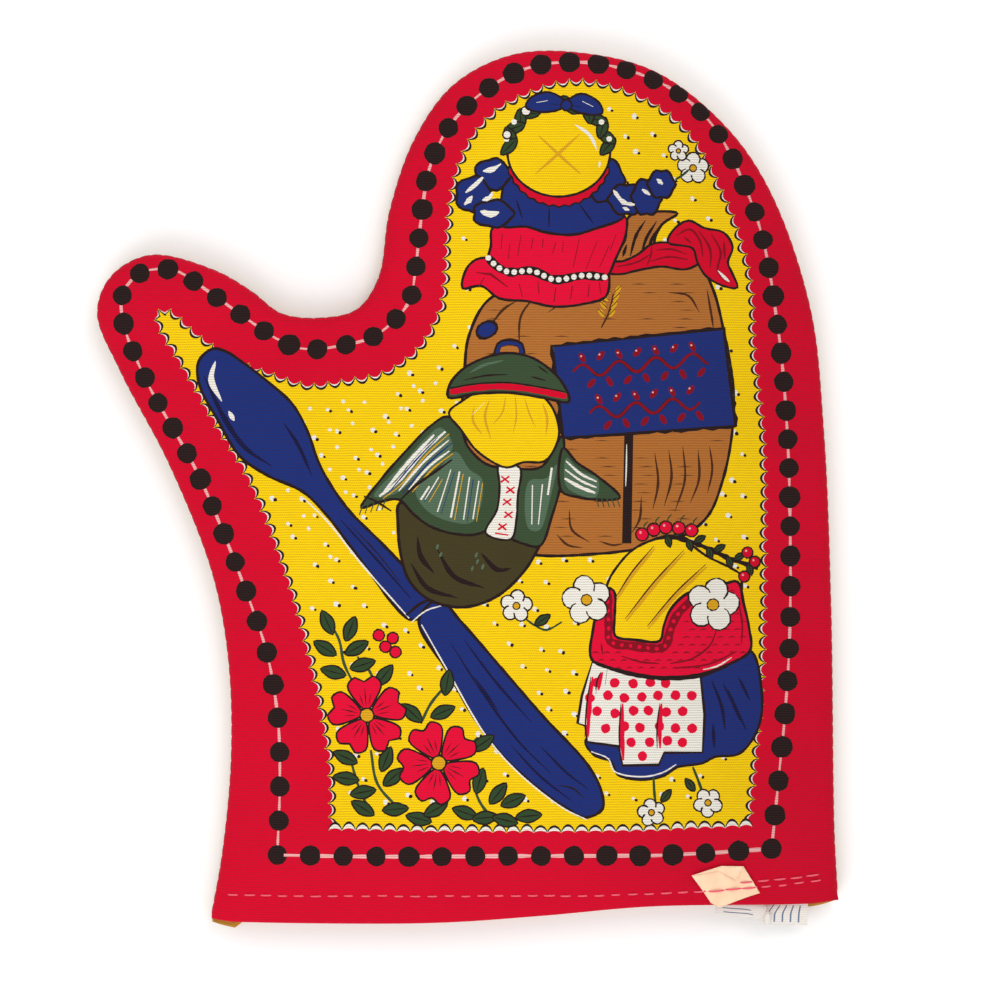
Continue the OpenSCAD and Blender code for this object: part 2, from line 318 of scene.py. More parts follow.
def meshFromLines(outline, lines, loops, spacing, seed, sewn=True):
    # triangles of a flat cut, with every drawn line kept as an edge
    points, edges = [], []

    def add(line, closed):
        start = len(points)
        points.extend(map(tuple, line))
        edges.extend((start + i, start + i + 1) for i in range(len(line) - 1))
        if closed:
            edges.append((start + len(line) - 1, start))
    add(outline, True)
    for line in loops:
        add(line, True)
    for line in lines:
        add(line, False)
    shake = random.Random(seed)
    low, high = outline.min(0), outline.max(0)
    inner = [
        (x + shake.uniform(-0.3, 0.3) * spacing, y + shake.uniform(-0.3, 0.3) * spacing)
        for y in np.arange(low[1] + spacing / 2, high[1], spacing)
        for x in np.arange(low[0] + spacing / 2, high[0], spacing)
    ]
    inner = np.array(inner)
    inner = inner[insidePolygon(inner, outline)]
    if sewn:
        inner = inner[(nearSide(inner)[0] > 0.4 * spacing) & (inner[:, 1] > cuffY(inner[:, 0]) + 2)]
    points.extend(map(tuple, inner))
    made = delaunay_2d_cdt([Vector(p) for p in points], edges, [], 0, 1e-4, False)
    flat = np.array([(v.x, v.y) for v in made[0]])
    triangles = np.array([t for t in made[2] if len(t) == 3])
    centres = flat[triangles].mean(1)
    a, b, c = (flat[triangles[:, k]] for k in range(3))
    area = (b[:, 0] - a[:, 0]) * (c[:, 1] - a[:, 1]) - (b[:, 1] - a[:, 1]) * (c[:, 0] - a[:, 0])
    keep = insidePolygon(centres, outline) & (np.abs(area) > 1e-7)
    triangles = np.where((area < 0)[:, None], triangles[:, ::-1], triangles)[keep]
    used, back = np.unique(triangles, return_inverse=True)
    return flat[used], back.reshape(triangles.shape)


def borderLoop(triangles):
    edges = {}
    for t in triangles.tolist():
        for k in range(3):
            edges[(t[k], t[(k + 1) % 3])] = True
    follow = {a: b for a, b in edges if (b, a) not in edges}
    start = next(iter(follow))
    loop, at = [start], follow[start]
    while at != start:
        loop.append(at)
        at = follow[at]
    return loop


class Cloth:
    # a growing mesh: points in mm, where each lies on the flat cloth, faces and a colour number per face

    def __init__(self):
        self.points, self.flat, self.faces, self.inks = [], [], [], []

    def addPoints(self, points, flat):
        start = len(self.points)
        self.points.extend(map(tuple, points))
        self.flat.extend(map(tuple, flat))
        return list(range(start, start + len(points)))

    def addFaces(self, faces, inks):
        self.faces.extend(map(tuple, faces))
        self.inks.extend(inks)

    def addRows(self, border, rows, flatRows):
        # rows of new points outside an anticlockwise run of border points
        last = border
        for row, flat in zip(rows, flatRows):
            now = self.addPoints(row, flat)
            for i in range(len(now) - 1):
                self.addFaces([(last[i + 1], last[i], now[i], now[i + 1])], [0])
            last = now

    def addTube(self, rings, flatRings):
        # rings of points joined round, closed at both ends
        last = None
        for ring, flat in zip(rings, flatRings):
            now = self.addPoints(ring, flat)
            if last is None:
                self.addFaces([tuple(now[::-1])], [0])
            else:
                around = zip(last, last[1:] + last[:1], now[1:] + now[:1], now)
                self.addFaces(around, [0] * len(now))
            last = now
        self.addFaces([tuple(last)], [0])


def build(name, cloth, material, keep=None, flip=False, palette=None, rightShade=0.0):
    faces, inks = cloth.faces, cloth.inks
    points, flat = np.array(cloth.points), np.array(cloth.flat)
    if keep is not None:
        centres = np.array([points[list(f)].mean(0) for f in faces])
        chosen = np.nonzero(keep(centres))[0]
        faces, inks = [faces[i] for i in chosen], [inks[i] for i in chosen]
        used = sorted({v for f in faces for v in f})
        new = {v: i for i, v in enumerate(used)}
        faces = [tuple(new[v] for v in f) for f in faces]
        points, flat = points[used], flat[used]
    if flip:
        faces = [f[::-1] for f in faces]
    mesh = bpy.data.meshes.new(name)
    mesh.from_pydata(inFrame(points).tolist(), [], faces)
    mesh.polygons.foreach_set("use_smooth", [True] * len(mesh.polygons))
    cutMap = mesh.attributes.new("cutMap", "FLOAT_VECTOR", "POINT")
    cutMap.data.foreach_set("vector", np.column_stack([flat, np.zeros(len(flat))]).ravel())
    if palette is not None:
        dye = mesh.attributes.new("dye", "FLOAT_COLOR", "CORNER")
        sides = np.array([len(f) for f in faces])
        colours = np.array(palette)[np.array(inks)]
        across = points[[f[0] for f in faces], 0]
        # painted shade: the printed colours are darkened smoothly towards the right of the mitt
        colours[:, :3] *= (1 - rightShade * ease((across - 10) / 95))[:, None]
        dye.data.foreach_set("color", np.repeat(colours, sides, axis=0).ravel())
    mesh.materials.append(material)
    mesh.validate()
    piece = bpy.data.objects.new(name, mesh)
    bpy.context.scene.collection.objects.link(piece)
    return piece


# the printed picture: every shape is laid down in order, the last one is on top

inkColours = {
    "red": (219, 2, 44), "brightRed": (236, 8, 56), "darkRed": (140, 10, 32), "yellow": (254, 210, 12),
    "blue": (22, 48, 120), "navy": (14, 24, 66), "brown": (182, 112, 50), "darkBrown": (74, 42, 24),
    "olive": (66, 62, 34), "green": (56, 80, 54), "leaf": (44, 74, 44), "stripe": (84, 112, 88),
    "black": (34, 26, 26), "white": (243, 238, 226), "pink": (243, 178, 176), "golden": (226, 168, 30)
}
inkNames = list(inkColours)


def linear(rgb):
    shade = np.array(rgb, float) / 255
    return tuple(np.where(shade <= 0.04045, shade / 12.92, ((shade + 0.055) / 1.055) ** 2.4)) + (1.0,)


palette = [tuple(0.925 * c for c in linear(inkColours[n])[:3]) + (1,) for n in inkNames]
printed = []                                  # (polygon, ink)
hand = random.Random(7)                       # the printer's unsteady hand


def fill(points, ink, smooth=True, step=1.6):
    polygon = smoothLine(points, step, closed=True) if smooth else np.array(points, float)
    printed.append((polygon, inkNames.index(ink)))
    return polygon


def stroke(points, width, ink="black", taper=0.0, smooth=True, closed=False, wobble=0.16, step=1.5):
    line = smoothLine(points, step, closed) if smooth else np.array(points, float)
    if closed:
        line = np.vstack([line, line[:1]])
    side = sideways(line)
    t = np.linspace(0, 1, len(line))
    half = width / 2 * (1 - taper * np.abs(2 * t - 1) ** 2)
    half = half * np.array([1 + hand.uniform(-wobble, wobble) for _ in line])
    if closed:
        half[-1] = half[0]
        side[0] = side[-1] = (side[0] + side[-1]) / 2
    left, right = line + side * half[:, None], line - side * half[:, None]
    if closed:
        for i in range(len(line) - 1):
            quad = np.array([left[i], left[i + 1], right[i + 1], right[i]])
            printed.append((quad, inkNames.index(ink)))
    else:
        printed.append((np.vstack([left, right[::-1]]), inkNames.index(ink)))


def strokes(lines, *look, **more):
    for line in lines:
        stroke(line, *look, **more)


def outlined(points, ink, width=0.7, smooth=True, step=1.6):
    fill(points, ink, smooth, step)
    stroke(points, width, "black", 0, smooth, True, step=step)


def disc(x, y, r, ink, sides=12, wobble=0.05, rx=1.0, turn=0.0):
    spin = hand.uniform(0, 6)
    polygon = []
    for i in range(sides):
        a = 2 * math.pi * i / sides + spin
        far = r * (1 + hand.uniform(-wobble, wobble))
        polygon.append(turned(x, y, rx * far * math.cos(a), far * math.sin(a), turn))
    printed.append((np.array(polygon), inkNames.index(ink)))


def ringed(x, y, r, ink, width=0.6, sides=14, rx=1.0, turn=0.0):
    disc(x, y, r + width / 2, "black", sides, 0.04, rx, turn)
    disc(x, y, r - width / 2, ink, sides, 0.04, rx, turn)


border = {
    "beads": [
        (-57, 20.6), (-56.3, 42.6), (-56.9, 61), (-60, 80), (-66, 98), (-80.7, 134), (-96.6, 163),
        (-103, 179), (-103.6, 188.5), (-98.4, 195), (-88.4, 196), (-80.6, 191.4), (-65.9, 181),
        (-57.5, 175.4), (-49.4, 172.3), (-39.2, 173), (-28.7, 175.8), (-21.8, 181), (-17.3, 187),
        (-15.8, 195), (-14, 211), (-11.3, 227), (-5, 239.7), (5.5, 250), (19, 257), (34.5, 258.5),
        (49.8, 255.6), (63.7, 249), (74.7, 238), (87, 211), (93, 179), (96, 145), (96.7, 90), (95, 62),
        (91, 22.4)
    ],
    "beadRow": [(91, 22.4), (60, 20.6), (10, 20.4), (-30, 20.2), (-57, 20.6)],
    "field": [
        (-41.8, 28), (-42, 44), (-44.3, 61), (-48, 78), (-54.5, 102), (-66, 132), (-77, 150),
        (-86, 166), (-93.2, 178), (-94, 183), (-90.3, 184.8), (-86.4, 182.5), (-80.6, 177),
        (-67.5, 169), (-54.5, 164), (-47, 162), (-39.5, 163), (-25, 166), (-20, 169), (-15, 173.6),
        (-11, 180), (-8.7, 186), (-7.4, 201.6), (-6.2, 217), (-2.3, 231), (4.3, 241), (13.9, 248),
        (31, 253.6), (44.7, 251.5), (59.5, 244.5), (69, 235), (81.4, 209), (86, 190), (86.7, 173),
        (89.5, 146), (90, 108), (89.2, 73), (87, 47), (85.3, 29)
    ],
    "fieldRow": [(85.3, 29), (50, 27.6), (0, 27.4), (-41.8, 28)],
    "beadPitch": 10.2, "closer": 1.6, "beadSize": 3.2, "laceHeight": 1.9, "lacePitch": 4.1,
    "laceRed": {"field": 0.75, "fieldRow": 0.35}
}


def drawBorder():
    field = np.vstack([smoothLine(border["field"], 1.8)[:-1], smoothLine(border["fieldRow"], 1.8)[:-1]])
    fill(field, "yellow", smooth=False)
    for keys, width in ((border["beads"], 0.8), (border["beadRow"], 1.1)):
        line = smoothLine(keys, 1.5)
        total = lengthsAlong(line)[-1]
        places = [0.0]
        while places[-1] < total - 4:                 # the beads stand closer towards the fingertips
            y = pointsAlong(line, [places[-1]])[0][1]
            places.append(places[-1] + border["beadPitch"] - border["closer"] * ease((y - 40) / 110))
        places = np.array(places) * total / places[-1]
        for start, end in zip(places, places[1:]):
            under = 0.4 * ((end - start) * 0.5)           # how far a bead covers the cord
            thicker = 0.25 * hand.uniform(-0.4, 0.4)
            dash = pointsAlong(line, np.linspace(start + under, end - under, 4))
            stroke(dash, width + thicker, "pink", 0.2, smooth=False, wobble=0.25)
        for x, y in pointsAlong(line, places[:-1]):
            disc(x, y, border["beadSize"] * hand.uniform(0.93, 1.05), "black", 14, 0.045)
    for name, red in border["laceRed"].items():       # the red runs over the foot of the lace
        line = smoothLine(border[name], 0.8)
        total = lengthsAlong(line)[-1]
        count = round(total / border["lacePitch"])
        for i in range(count):
            part = pointsAlong(line, np.linspace(i * total / count, (i + 0.96) * total / count, 9))
            inward = -sideways(part)
            bulge = np.sin(np.linspace(0, np.pi, 9)) ** 0.7 * border["laceHeight"] * hand.uniform(0.8, 1.1)
            outer = part + inward * (bulge + 0.75)[:, None]
            inner = part + inward * bulge[:, None]
            printed.append((np.vstack([part - 0.5 * inward, outer[::-1]]), inkNames.index("black")))
            printed.append((np.vstack([part - 0.2 * inward, inner[::-1]]), inkNames.index("white")))
            foot = part + inward * (0.05 + red * bulge)[:, None]
            edge = np.vstack([part - 1.1 * inward, foot[::-1]])
            printed.append((edge, inkNames.index("red")))
    return field


def drawSpeckles(field):
    for row, y in enumerate(np.arange(31, 252, 6.4), 1):
        for x in np.arange(-92 + (row % 2) * 4.2, 90, 8.4):
            spot = np.array([[x + hand.uniform(-1.6, 1.6), y + hand.uniform(-1.4, 1.4)]])
            if not insidePolygon(spot, field)[0]:
                continue
            if np.linalg.norm(field - spot, axis=1).min() < 5.5:     # clear of the lace
                continue
            sx, sy = spot[0]
            disc(sx - 0.9, sy + 0.5, hand.uniform(0.55, 0.85), "white", 7, 0.2)
            disc(sx, sy, hand.uniform(0.42, 0.6), "black", 6, 0.2)
            if -75 < x < 0 and 105 < y < 165:
                disc(sx + 3.8, sy + 2.9, 0.6, "white", 7, 0.2)


def drawSpoon():
    bowl = [(-76.4, 172.2), (-80.6, 168.4), (-80.4, 161.5), (-74.4, 150.1), (-68.1, 140), (-59.9, 134.3),
            (-49.2, 129.3), (-41.6, 121.7), (-32.1, 109.1), (-16.6, 91), (-10.9, 96), (-17.6, 105.3),
            (-25.8, 114.1), (-35.3, 123.6), (-41.6, 132.5), (-44.8, 138.8), (-47.9, 147.6), (-52.4, 155.6),
            (-59.9, 162.4), (-68, 168.6), (-72.4, 171.4)]
    outlined(bowl, "blue", 0.9)
    stroke([(-49, 127.5), (-41.5, 120), (-31.5, 107.5), (-17.5, 91.5)], 0.5, "white", 0.3)
    stroke([(-79, 164), (-72.6, 151), (-66.5, 142.5), (-58.5, 137)], 1.5, "navy", 0.9)
    stroke([(-55, 150), (-50.5, 143), (-46.5, 134)], 1.1, "navy", 0.9)
    stroke([(-75.5, 168.5), (-76.8, 163), (-73.6, 156.4)], 1.9, "white", 0.9)
    stroke([(-71.5, 153.5), (-69.8, 150.6)], 1.5, "white", 0.8)
    stroke([(-38, 121), (-28, 110), (-17, 97.5)], 0.7, "navy", 0.7)
    stroke([(-35, 119.4), (-27, 111), (-20, 102)], 0.4, "black", 0.7)
    handle = [(-14.6, 91), (-6.1, 75.8), (5.3, 56.8), (14.8, 46.1), (28.6, 35.3), (35.5, 31.9), (40.4, 34.5),
              (40.1, 39.6), (36.2, 47.3), (22.3, 62.5), (10.3, 76.4), (-2.3, 90.9), (-8.5, 97.2)]
    outlined(handle, "blue", 0.9)
    stroke([(-13.8, 89.6), (-5.6, 75.2), (5.6, 56.2), (15.2, 45.3), (28.8, 34.6),
            (35.5, 31.3)], 0.5, "white", 0.3)
    strokes(([(-5, 84), (4, 70), (15, 55), (25, 45)], [(-1, 85), (8, 73), (19, 60.5)],
             [(22, 53), (30, 45), (36, 40.5)], [(13, 53.5), (22, 44), (31, 37)], [(2, 74), (9, 64)]),
            0.75, "navy", 0.8)
    stroke([(27, 41.5), (31.5, 40.6), (35, 37.5)], 0.5, "black", 0.8)
    stroke([(-18.4, 92.4), (-13.6, 96.2), (-9.2, 97.4)], 0.9, "black", 0.2)
    stroke([(-16.8, 90.3), (-12.4, 93.8), (-7.4, 95.4)], 0.45, "white", 0.2)


def drawLeaf(x, y, turn, size=1.0):
    length, width = 4.0 * size, 2.0 * size
    rim = ((-1, 0), (-0.55, 0.72), (0, 1), (0.55, 0.66), (1, 0), (0.55, -0.66), (0, -1), (-0.55, -0.72))
    outlined([turned(x, y, t * length, w * width, turn) for t, w in rim], "leaf", 0.5, step=1.3)
    midrib = [turned(x, y, t * length, 0, turn) for t in (-0.8, 0, 0.75)]
    stroke(midrib, 0.4, "black", 0.5, smooth=False)


def drawFlower(x, y, r, turn):
    petal = ((0.14, 0), (0.46, 0.30), (0.83, 0.45), (1.03, 0.24), (0.9, 0), (1.03, -0.24), (0.83, -0.45),
             (0.46, -0.30))
    stamens = []
    for k in range(5):
        a = turn + 2 * math.pi * k / 5
        outlined([turned(x, y, r * far, r * off, a) for far, off in petal], "brightRed", 0.6, step=1.6)
        for swing in (-0.26, 0, 0.26):
            b = a + swing
            near, far = (0.28, 0.6) if swing else (0.26, 0.72)
            vein = [turned(x, y, r * f, 0, b) for f in (near, (near + far) / 2, far)]
            stroke(vein, 0.42, "darkRed" if swing else "black", 0.8, smooth=False)
        stamens.append(turned(x, y, 0.2 * r, 0, a + 0.6))
    ringed(x, y, 0.19 * r, "golden", 0.5, 10)
    for sx, sy in stamens:
        disc(sx, sy, 0.35, "black", 6)


def drawGarden():
    stems = ([(-42.5, 92), (-38.5, 85), (-37, 78), (-33, 70)], [(-33, 80), (-29.5, 76), (-27, 70)],
             [(-29, 52), (-27, 42), (-20, 34)], [(-14, 60), (-11, 66), (-6, 72)],
             [(2, 46), (3, 38), (8, 32), (18, 32)], [(3, 56), (-1, 51)], [(-35, 49), (-33, 42), (-30, 35)])
    for stem in stems:
        stroke(stem, 0.9, "green", 0.3)
    leaves = ((-42, 90.2, 2.0), (-35.1, 88.3, 1.2), (-42.7, 82.5, 2.6), (-33.2, 82.6, 0.5),
              (-40.2, 75.4, 2.9), (-31.4, 77.6, 0.3), (-24.9, 74.4, 0.9), (-6.1, 72.3, 1.4),
              (-16.6, 63.2, 2.4), (-7.4, 63.5, 0.4), (4.6, 54.2, 0.6), (-36.6, 49.8, 2.7), (-36.4, 43.5, 3.0),
              (-31.3, 39.4, 0.2), (-24.4, 49.3, 1.2), (-22.2, 44.0, 0.7), (-31.4, 34.6, 2.6),
              (-21.6, 34.4, 0.1), (-14.6, 31.6, 2.9), (-9.5, 34.4, 0.5), (3.6, 42.9, 1.3), (-0.8, 33.4, 2.8),
              (5.3, 31.9, 0.1), (9.1, 39.1, 0.9), (13.6, 37.0, 0.4), (11.2, 31.2, 2.9), (18.3, 32.4, 0.1))
    for x, y, turn in leaves:
        drawLeaf(x, y, turn)
    for x, y in ((-24.6, 83), (-22.4, 85.6), (-26.6, 86.4), (-21.6, 81.4)):
        ringed(x, y, 1.75, "brightRed", 0.5, 10)
    drawFlower(-30.1, 62.5, 11.2, 0.4)
    drawFlower(-8.6, 48.3, 11.8, 0.75)


def drawSack():
    body = [(-0.9, 166), (0.4, 176), (6.3, 186.8), (20, 192), (42, 195.5), (57, 197.3), (68.8, 197.4),
            (73.4, 190), (77, 176), (79.6, 160), (79.2, 147.2), (76.4, 133), (71.7, 121.8), (63, 115.4),
            (49.9, 112.1), (36, 110.6), (21, 110.4), (10, 113), (2, 126), (-1.6, 148)]
    outlined(body, "brown", 0.9)
    neck = [(43, 198), (47, 204.5), (48.2, 211.6), (55.4, 213.2), (62.9, 212.7), (58.2, 209.4), (55.8, 203.6),
            (57.4, 198)]
    outlined(neck, "brown", 0.8)
    strokes(([(48.6, 199.6), (50.4, 206), (53.2, 210.6)], [(51.8, 199.6), (53.4, 205), (56.6, 210.4)],
             [(54.4, 199.5), (54.6, 203.6), (57.4, 208.8)], [(46.4, 199.6), (47.6, 203.4)]),
            1.0, "black", 0.8)
    strokes(([(20.8, 188.5), (16, 182), (15.4, 173)], [(71.6, 190), (73.2, 181), (73.6, 178)],
             [(56, 141), (57, 132), (55.4, 124)], [(60.2, 142), (61, 133.5), (58.8, 125)],
             [(64.4, 143), (65, 133), (62, 123.4)], [(69, 142), (69.2, 133), (66.6, 126)],
             [(72.4, 143), (73.2, 136), (71.8, 129)], [(30.4, 124), (31.2, 118), (36.6, 114.2)],
             [(26.6, 116.6), (30, 113.4), (34.4, 112.6)], [(39.4, 114.6), (43.4, 113.4), (46.4, 113.8)],
             [(52, 128), (51.4, 121), (49, 117)], [(6.8, 179), (10.8, 184), (15, 186.6)],
             [(24, 183), (29, 186), (36, 187)], [(60, 189), (66, 188), (69.4, 183)]), 0.75, "darkBrown", 0.85)
    for y in np.arange(116, 194, 2.6):                # coarse threads of the sacking
        for x in np.arange(2 + hand.uniform(0, 4), 74, 11.5):
            spot = np.array([[x, y], [x + 5, y]])
            if insidePolygon(spot, np.array(body)).all() and hand.random() < 0.5:
                stroke([(x, y), (x + 2.4, y + 0.1), (x + 4.8, y)], 0.28, "darkBrown", 0.9, smooth=False)
    ear = [(40, 178.4), (42.4, 183.4), (43.6, 188.6)]  # a wheat ear printed on the sack
    stroke(ear, 0.6, "darkBrown", 0.3)
    for k in range(4):
        x, y = 41.6 + 0.6 * k, 182 + 2.3 * k
        for side in (-1, 1):
            disc(x + 1.6 * side, y + 0.9, 0.72, "golden", 8, 0.05, 2.0, math.pi / 2 - 0.6 * side)
            stroke([(x + 0.4 * side, y), (x + 2.6 * side, y + 2.1)], 0.25, "darkBrown", smooth=False)
    ringed(5.7, 177.8, 2.4, "blue", 0.7, 12, 1.35, 0.5)


def drawRibbon():
    band = [(42.6, 197.9), (46.4, 198.3), (51, 200.4), (55, 203.4), (60.4, 203.9), (67.4, 202.2),
            (69.4, 198.2), (65.4, 195.9), (58, 196.7), (51, 195.6), (45.6, 194.4), (42.2, 194.9)]
    outlined(band, "red", 0.75)
    strokes(([(44.4, 196.6), (50.6, 198), (55.4, 200.8)], [(54.6, 198.2), (60, 199.6), (66, 198.8)],
             [(56.4, 201.6), (61, 201.9), (65.6, 200.4)], [(53.6, 196.9), (54.9, 200.4), (55, 203)]),
            0.6, "darkRed", 0.7)
    loop = [(59.9, 204), (62.1, 208.3), (66.2, 210.6), (70.9, 208.4), (76.8, 207), (79.4, 202.6), (77.9, 198),
            (79.2, 194.8), (80.8, 190.5), (76.4, 191), (71.2, 194), (68.6, 198.4), (67.4, 202.2)]
    outlined(loop, "red", 0.75)
    strokes(([(62.4, 206), (66.6, 208), (69.6, 204.4), (70.4, 199.6)],
             [(69.2, 207.6), (72.6, 202), (72.6, 196.4)],
             [(73, 206.6), (75.8, 201.2), (74.8, 195.4), (77.6, 192)], [(64.8, 205.6), (67, 203.8)],
             [(76.8, 204.4), (77, 199)]), 0.75, "darkRed", 0.7)
    stroke([(74.8, 195.6), (77.2, 193.2), (78.4, 192.2)], 0.9, "white", 0.9)


def drawSign():
    pole = [(46.9, 147), (49.6, 147), (49, 113.9), (46.2, 113.9)]
    fill(pole, "black", smooth=False)
    stroke([(47.6, 143.6), (47.5, 137), (47.3, 131)], 0.45, "white", 0.6)
    corners = [(25.4, 172.8), (76.6, 178), (80.2, 149.2), (28.6, 145.6)]
    line = evenLoop(corners, 2.3)
    puff = [p + (line.mean(0) - p) * (0.012 if i % 2 else -0.012) for i, p in enumerate(line)]
    fill(line + (line - line.mean(0)) * 0.022, "green", smooth=False)
    stroke(puff, 1.5, "black", 0, False, True, 0.3)
    fill(line - (line - line.mean(0)) * 0.016, "blue", smooth=False)
    slope = 5.2 / 51.2
    for row, y0 in enumerate((165.2, 152.8)):          # two rows of a plain scrolling vine
        x0, x1 = (31.5, 72.5) if row == 0 else (36.5, 70.5)
        xs = np.arange(x0, x1, 1.5)
        vine = [(x, y0 + (x - x0) * slope + 1.9 * math.sin((x - x0) / 1.75)) for x in xs]
        stroke(vine, 1.15, "black", 0.3, step=1.2)
        stroke(vine, 0.85, "darkRed", 0.3, step=1.2)
        for k, x in enumerate(np.arange(x0 + 2.75, x1 - 1, 5.5)):
            y = y0 + (x - x0) * slope
            disc(x, y + 4.0, 0.9, "darkRed", 8, 0.06, 1.9, 0.9 if k % 2 else 2.1)
            disc(x + 2.75, y - 3.7, 0.9, "darkRed", 8, 0.06, 1.9, 2.1 if k % 2 else 0.9)
            disc(x - 0.3, y + 4.4, 0.35, "pink", 5)


def drawPuff(x, y, width, height, lobes, count):
    puff = []
    for a in np.linspace(0, 2 * math.pi, count + 1)[:-1]:
        swell = 1 + 0.09 * math.cos(lobes * a)
        puff.append((x + width * math.cos(a) * swell, y + height * math.sin(a) * swell))
    outlined(puff, "blue", 0.8, step=1.6)


def drawTopGroup():
    # a cross-cut bun with a leaf wreath and a bow, in a blue ruffled napkin on a red gathered cloth
    flounce = [(6.7, 199.3), (2.7, 199), (-0.3, 196.2), (-1.5, 190.3), (4, 191), (9.5, 187.2), (17.4, 186.4),
               (26, 184.7), (34.6, 185.5), (41.3, 187.7), (42.4, 192), (41.6, 195.6), (34.6, 196), (26, 195),
               (19.3, 197.4), (11.9, 197.4)]
    outlined(flounce, "brightRed", 0.8)
    strokes(([(5, 193.6), (3.4, 190.8)], [(2.6, 195), (7, 194.4), (12, 190.6)],
             [(15.4, 191.6), (16.4, 187.6)], [(26.4, 190.4), (25.8, 186)], [(31.4, 191), (30.8, 187)],
             [(36.4, 191.4), (36, 187.6)], [(39.4, 192), (39.8, 188.6)], [(21, 192.4), (21.4, 188.6)]),
            0.7, "darkRed", 0.6, smooth=False)
    gather = [(7, 203), (7.6, 208.6), (17.4, 209), (23.6, 207.4), (31.5, 206.8), (38.2, 208.4), (47.2, 211.6),
              (47.4, 206.8), (44.4, 199.3), (41.2, 193.4), (34.6, 193.8), (26, 192.8), (19.3, 195.4),
              (11.9, 195.2), (6.4, 199.3)]
    outlined(gather, "brightRed", 0.8)
    strokes(([(10.4, 206.6), (10, 202)], [(16, 206.2), (15, 200)], [(19.6, 205.4), (19, 202)],
             [(22.6, 205), (22.4, 202.4)], [(26.4, 204), (25.4, 200.6)], [(28.6, 204.2), (28.4, 201)],
             [(33.4, 205), (31.6, 196.4)], [(38.6, 204), (35.4, 196)], [(42.4, 203), (39.4, 196.4)],
             [(12.6, 203.4), (12.2, 199)], [(44.4, 206.4), (42.6, 201.4)]),
            0.75, "darkRed", 0.7, smooth=False)
    lace = [(6.2, 199.4), (9, 196.6), (12.4, 195.1), (19.3, 195.4), (26, 192.8), (34.6, 194), (41, 193.5)]
    stroke(lace, 2.5, "black", 0)
    for x, y in evenLine(smoothLine(lace, 1), 2.25):
        disc(x, y, 0.88, "white", 9)
    wrap = [(12.5, 226.9), (15, 221.3), (20.5, 217.1), (27.2, 215.2), (34.6, 218.3), (37, 223.8),
            (40.7, 220.1), (45, 216.2), (46.8, 211.8), (38.2, 208), (31.5, 206.2), (23.6, 206.9),
            (17.4, 208.7), (10.1, 209), (10, 216.4)]
    outlined(wrap, "blue", 0.8)
    for x, y, w, h in ((7.4, 224.4, 5.4, 4.7), (1.6, 218.4, 5.2, 5.4), (7.6, 212.6, 6.0, 4.0)):
        drawPuff(x, y, w, h, 5, 14)
    strokes(([(4.6, 225.4), (7.6, 226), (10, 227.6)], [(-0.6, 219), (2.4, 221.4), (4.6, 223.6)],
             [(3.8, 213.4), (7, 212.4), (9.4, 213)], [(-1, 215.4), (0.4, 216.6), (1.4, 218)],
             [(4.4, 216.6), (6.6, 217.4), (7.4, 219)]), 1.6, "white", 0.75, wobble=0.35)
    for x, y, w, h in ((41.2, 222.4, 5.6, 6.6), (47.6, 216.8, 5.4, 4.6), (53.6, 217.6, 4.4, 5.4),
                       (58.0, 221.4, 4.0, 4.2)):
        drawPuff(x, y, w, h, 6, 16)
    strokes(([(39.4, 225.8), (40.6, 223.4)], [(43.6, 219.6), (46.6, 216), (50, 215.2)],
             [(52.2, 219.8), (54.6, 218.2)], [(56.6, 223), (58.4, 221.4)], [(46.4, 214.4), (48.4, 213.6)]),
            1.5, "white", 0.75, wobble=0.35)
    strokes(([(24.4, 214.2), (24.3, 208.6)], [(33.4, 215.4), (37.6, 209.6)], [(14.6, 216.6), (16.4, 211)]),
            0.6, "navy", 0.7)
    left, right = math.radians(196), math.radians(344)
    ruff = []
    for i, a in enumerate(np.linspace(left, right, 27)):
        far = 15.6 + 0.55 * (i % 2)
        ruff.append((27.3 + far * math.cos(a), 230.6 + far * math.sin(a)))
    ruff += ellipse(27.3, 229.8, 11, 10.4, np.linspace(right, left, 12))
    fill(ruff, "red", smooth=False)
    stroke(ruff, 0.6, "black", 0, False, True)
    outlined(ellipse(27.3, 231.3, 15.4, 13.7, np.linspace(0, 2 * math.pi, 25)[:-1]), "yellow", 0.75)
    stroke([(32, 239.4), (36.6, 236), (38.8, 231.4)], 1.1, "white", 0.9)
    stroke([(39.6, 228.4), (39.4, 226.4)], 0.8, "white", 0.8)
    # the bun's cross cut
    strokes(([(20.4, 224.6), (27, 230.4), (33.6, 236.4)], [(21.2, 236), (27.4, 230.2), (33.8, 224.4)]),
            1.0, "golden", 0.8)
    for i, a in enumerate(np.linspace(math.radians(2), math.radians(178), 15)):   # a wreath of leaves
        x, y = 27.2 + 14.8 * math.cos(a), 232.2 + 13.4 * math.sin(a)
        drawLeaf(x, y, a + (2.3 if i % 2 else 0.8), 0.86)
    for a in np.linspace(math.radians(10), math.radians(170), 8):
        disc(27.0 + 15.6 * math.cos(a), 232.6 + 13.8 * math.sin(a), 0.9, "white", 7)
    ringed(17.5, 243.4, 1.5, "white", 0.5, 9)
    ringed(11.8, 236.3, 1.3, "white", 0.5, 9)
    for keys in ([(29.4, 246), (24.6, 249.2), (19, 247.6), (17.4, 244.6), (22.4, 243), (28.6, 244.4)],
                 [(29.6, 246), (34, 248.8), (39.4, 246), (40.4, 242.8), (35.6, 242.4), (30.4, 244.4)]):
        outlined(keys, "blue", 0.7)
    strokes(([(20.6, 246), (24, 246.6)], [(34.4, 246.4), (37.6, 244.8)]), 0.9, "white", 0.8, smooth=False)
    strokes(([(28.2, 245.2), (24.6, 245.6)], [(31, 245.2), (34.4, 244.6)]), 0.6, "navy", 0.7, smooth=False)
    ringed(29.6, 245.2, 1.7, "blue", 0.6, 10)
    for x, y, r in ((67.6, 226.4, 4.6), (63.2, 231.6, 3.0)):   # white blossoms beside the napkin
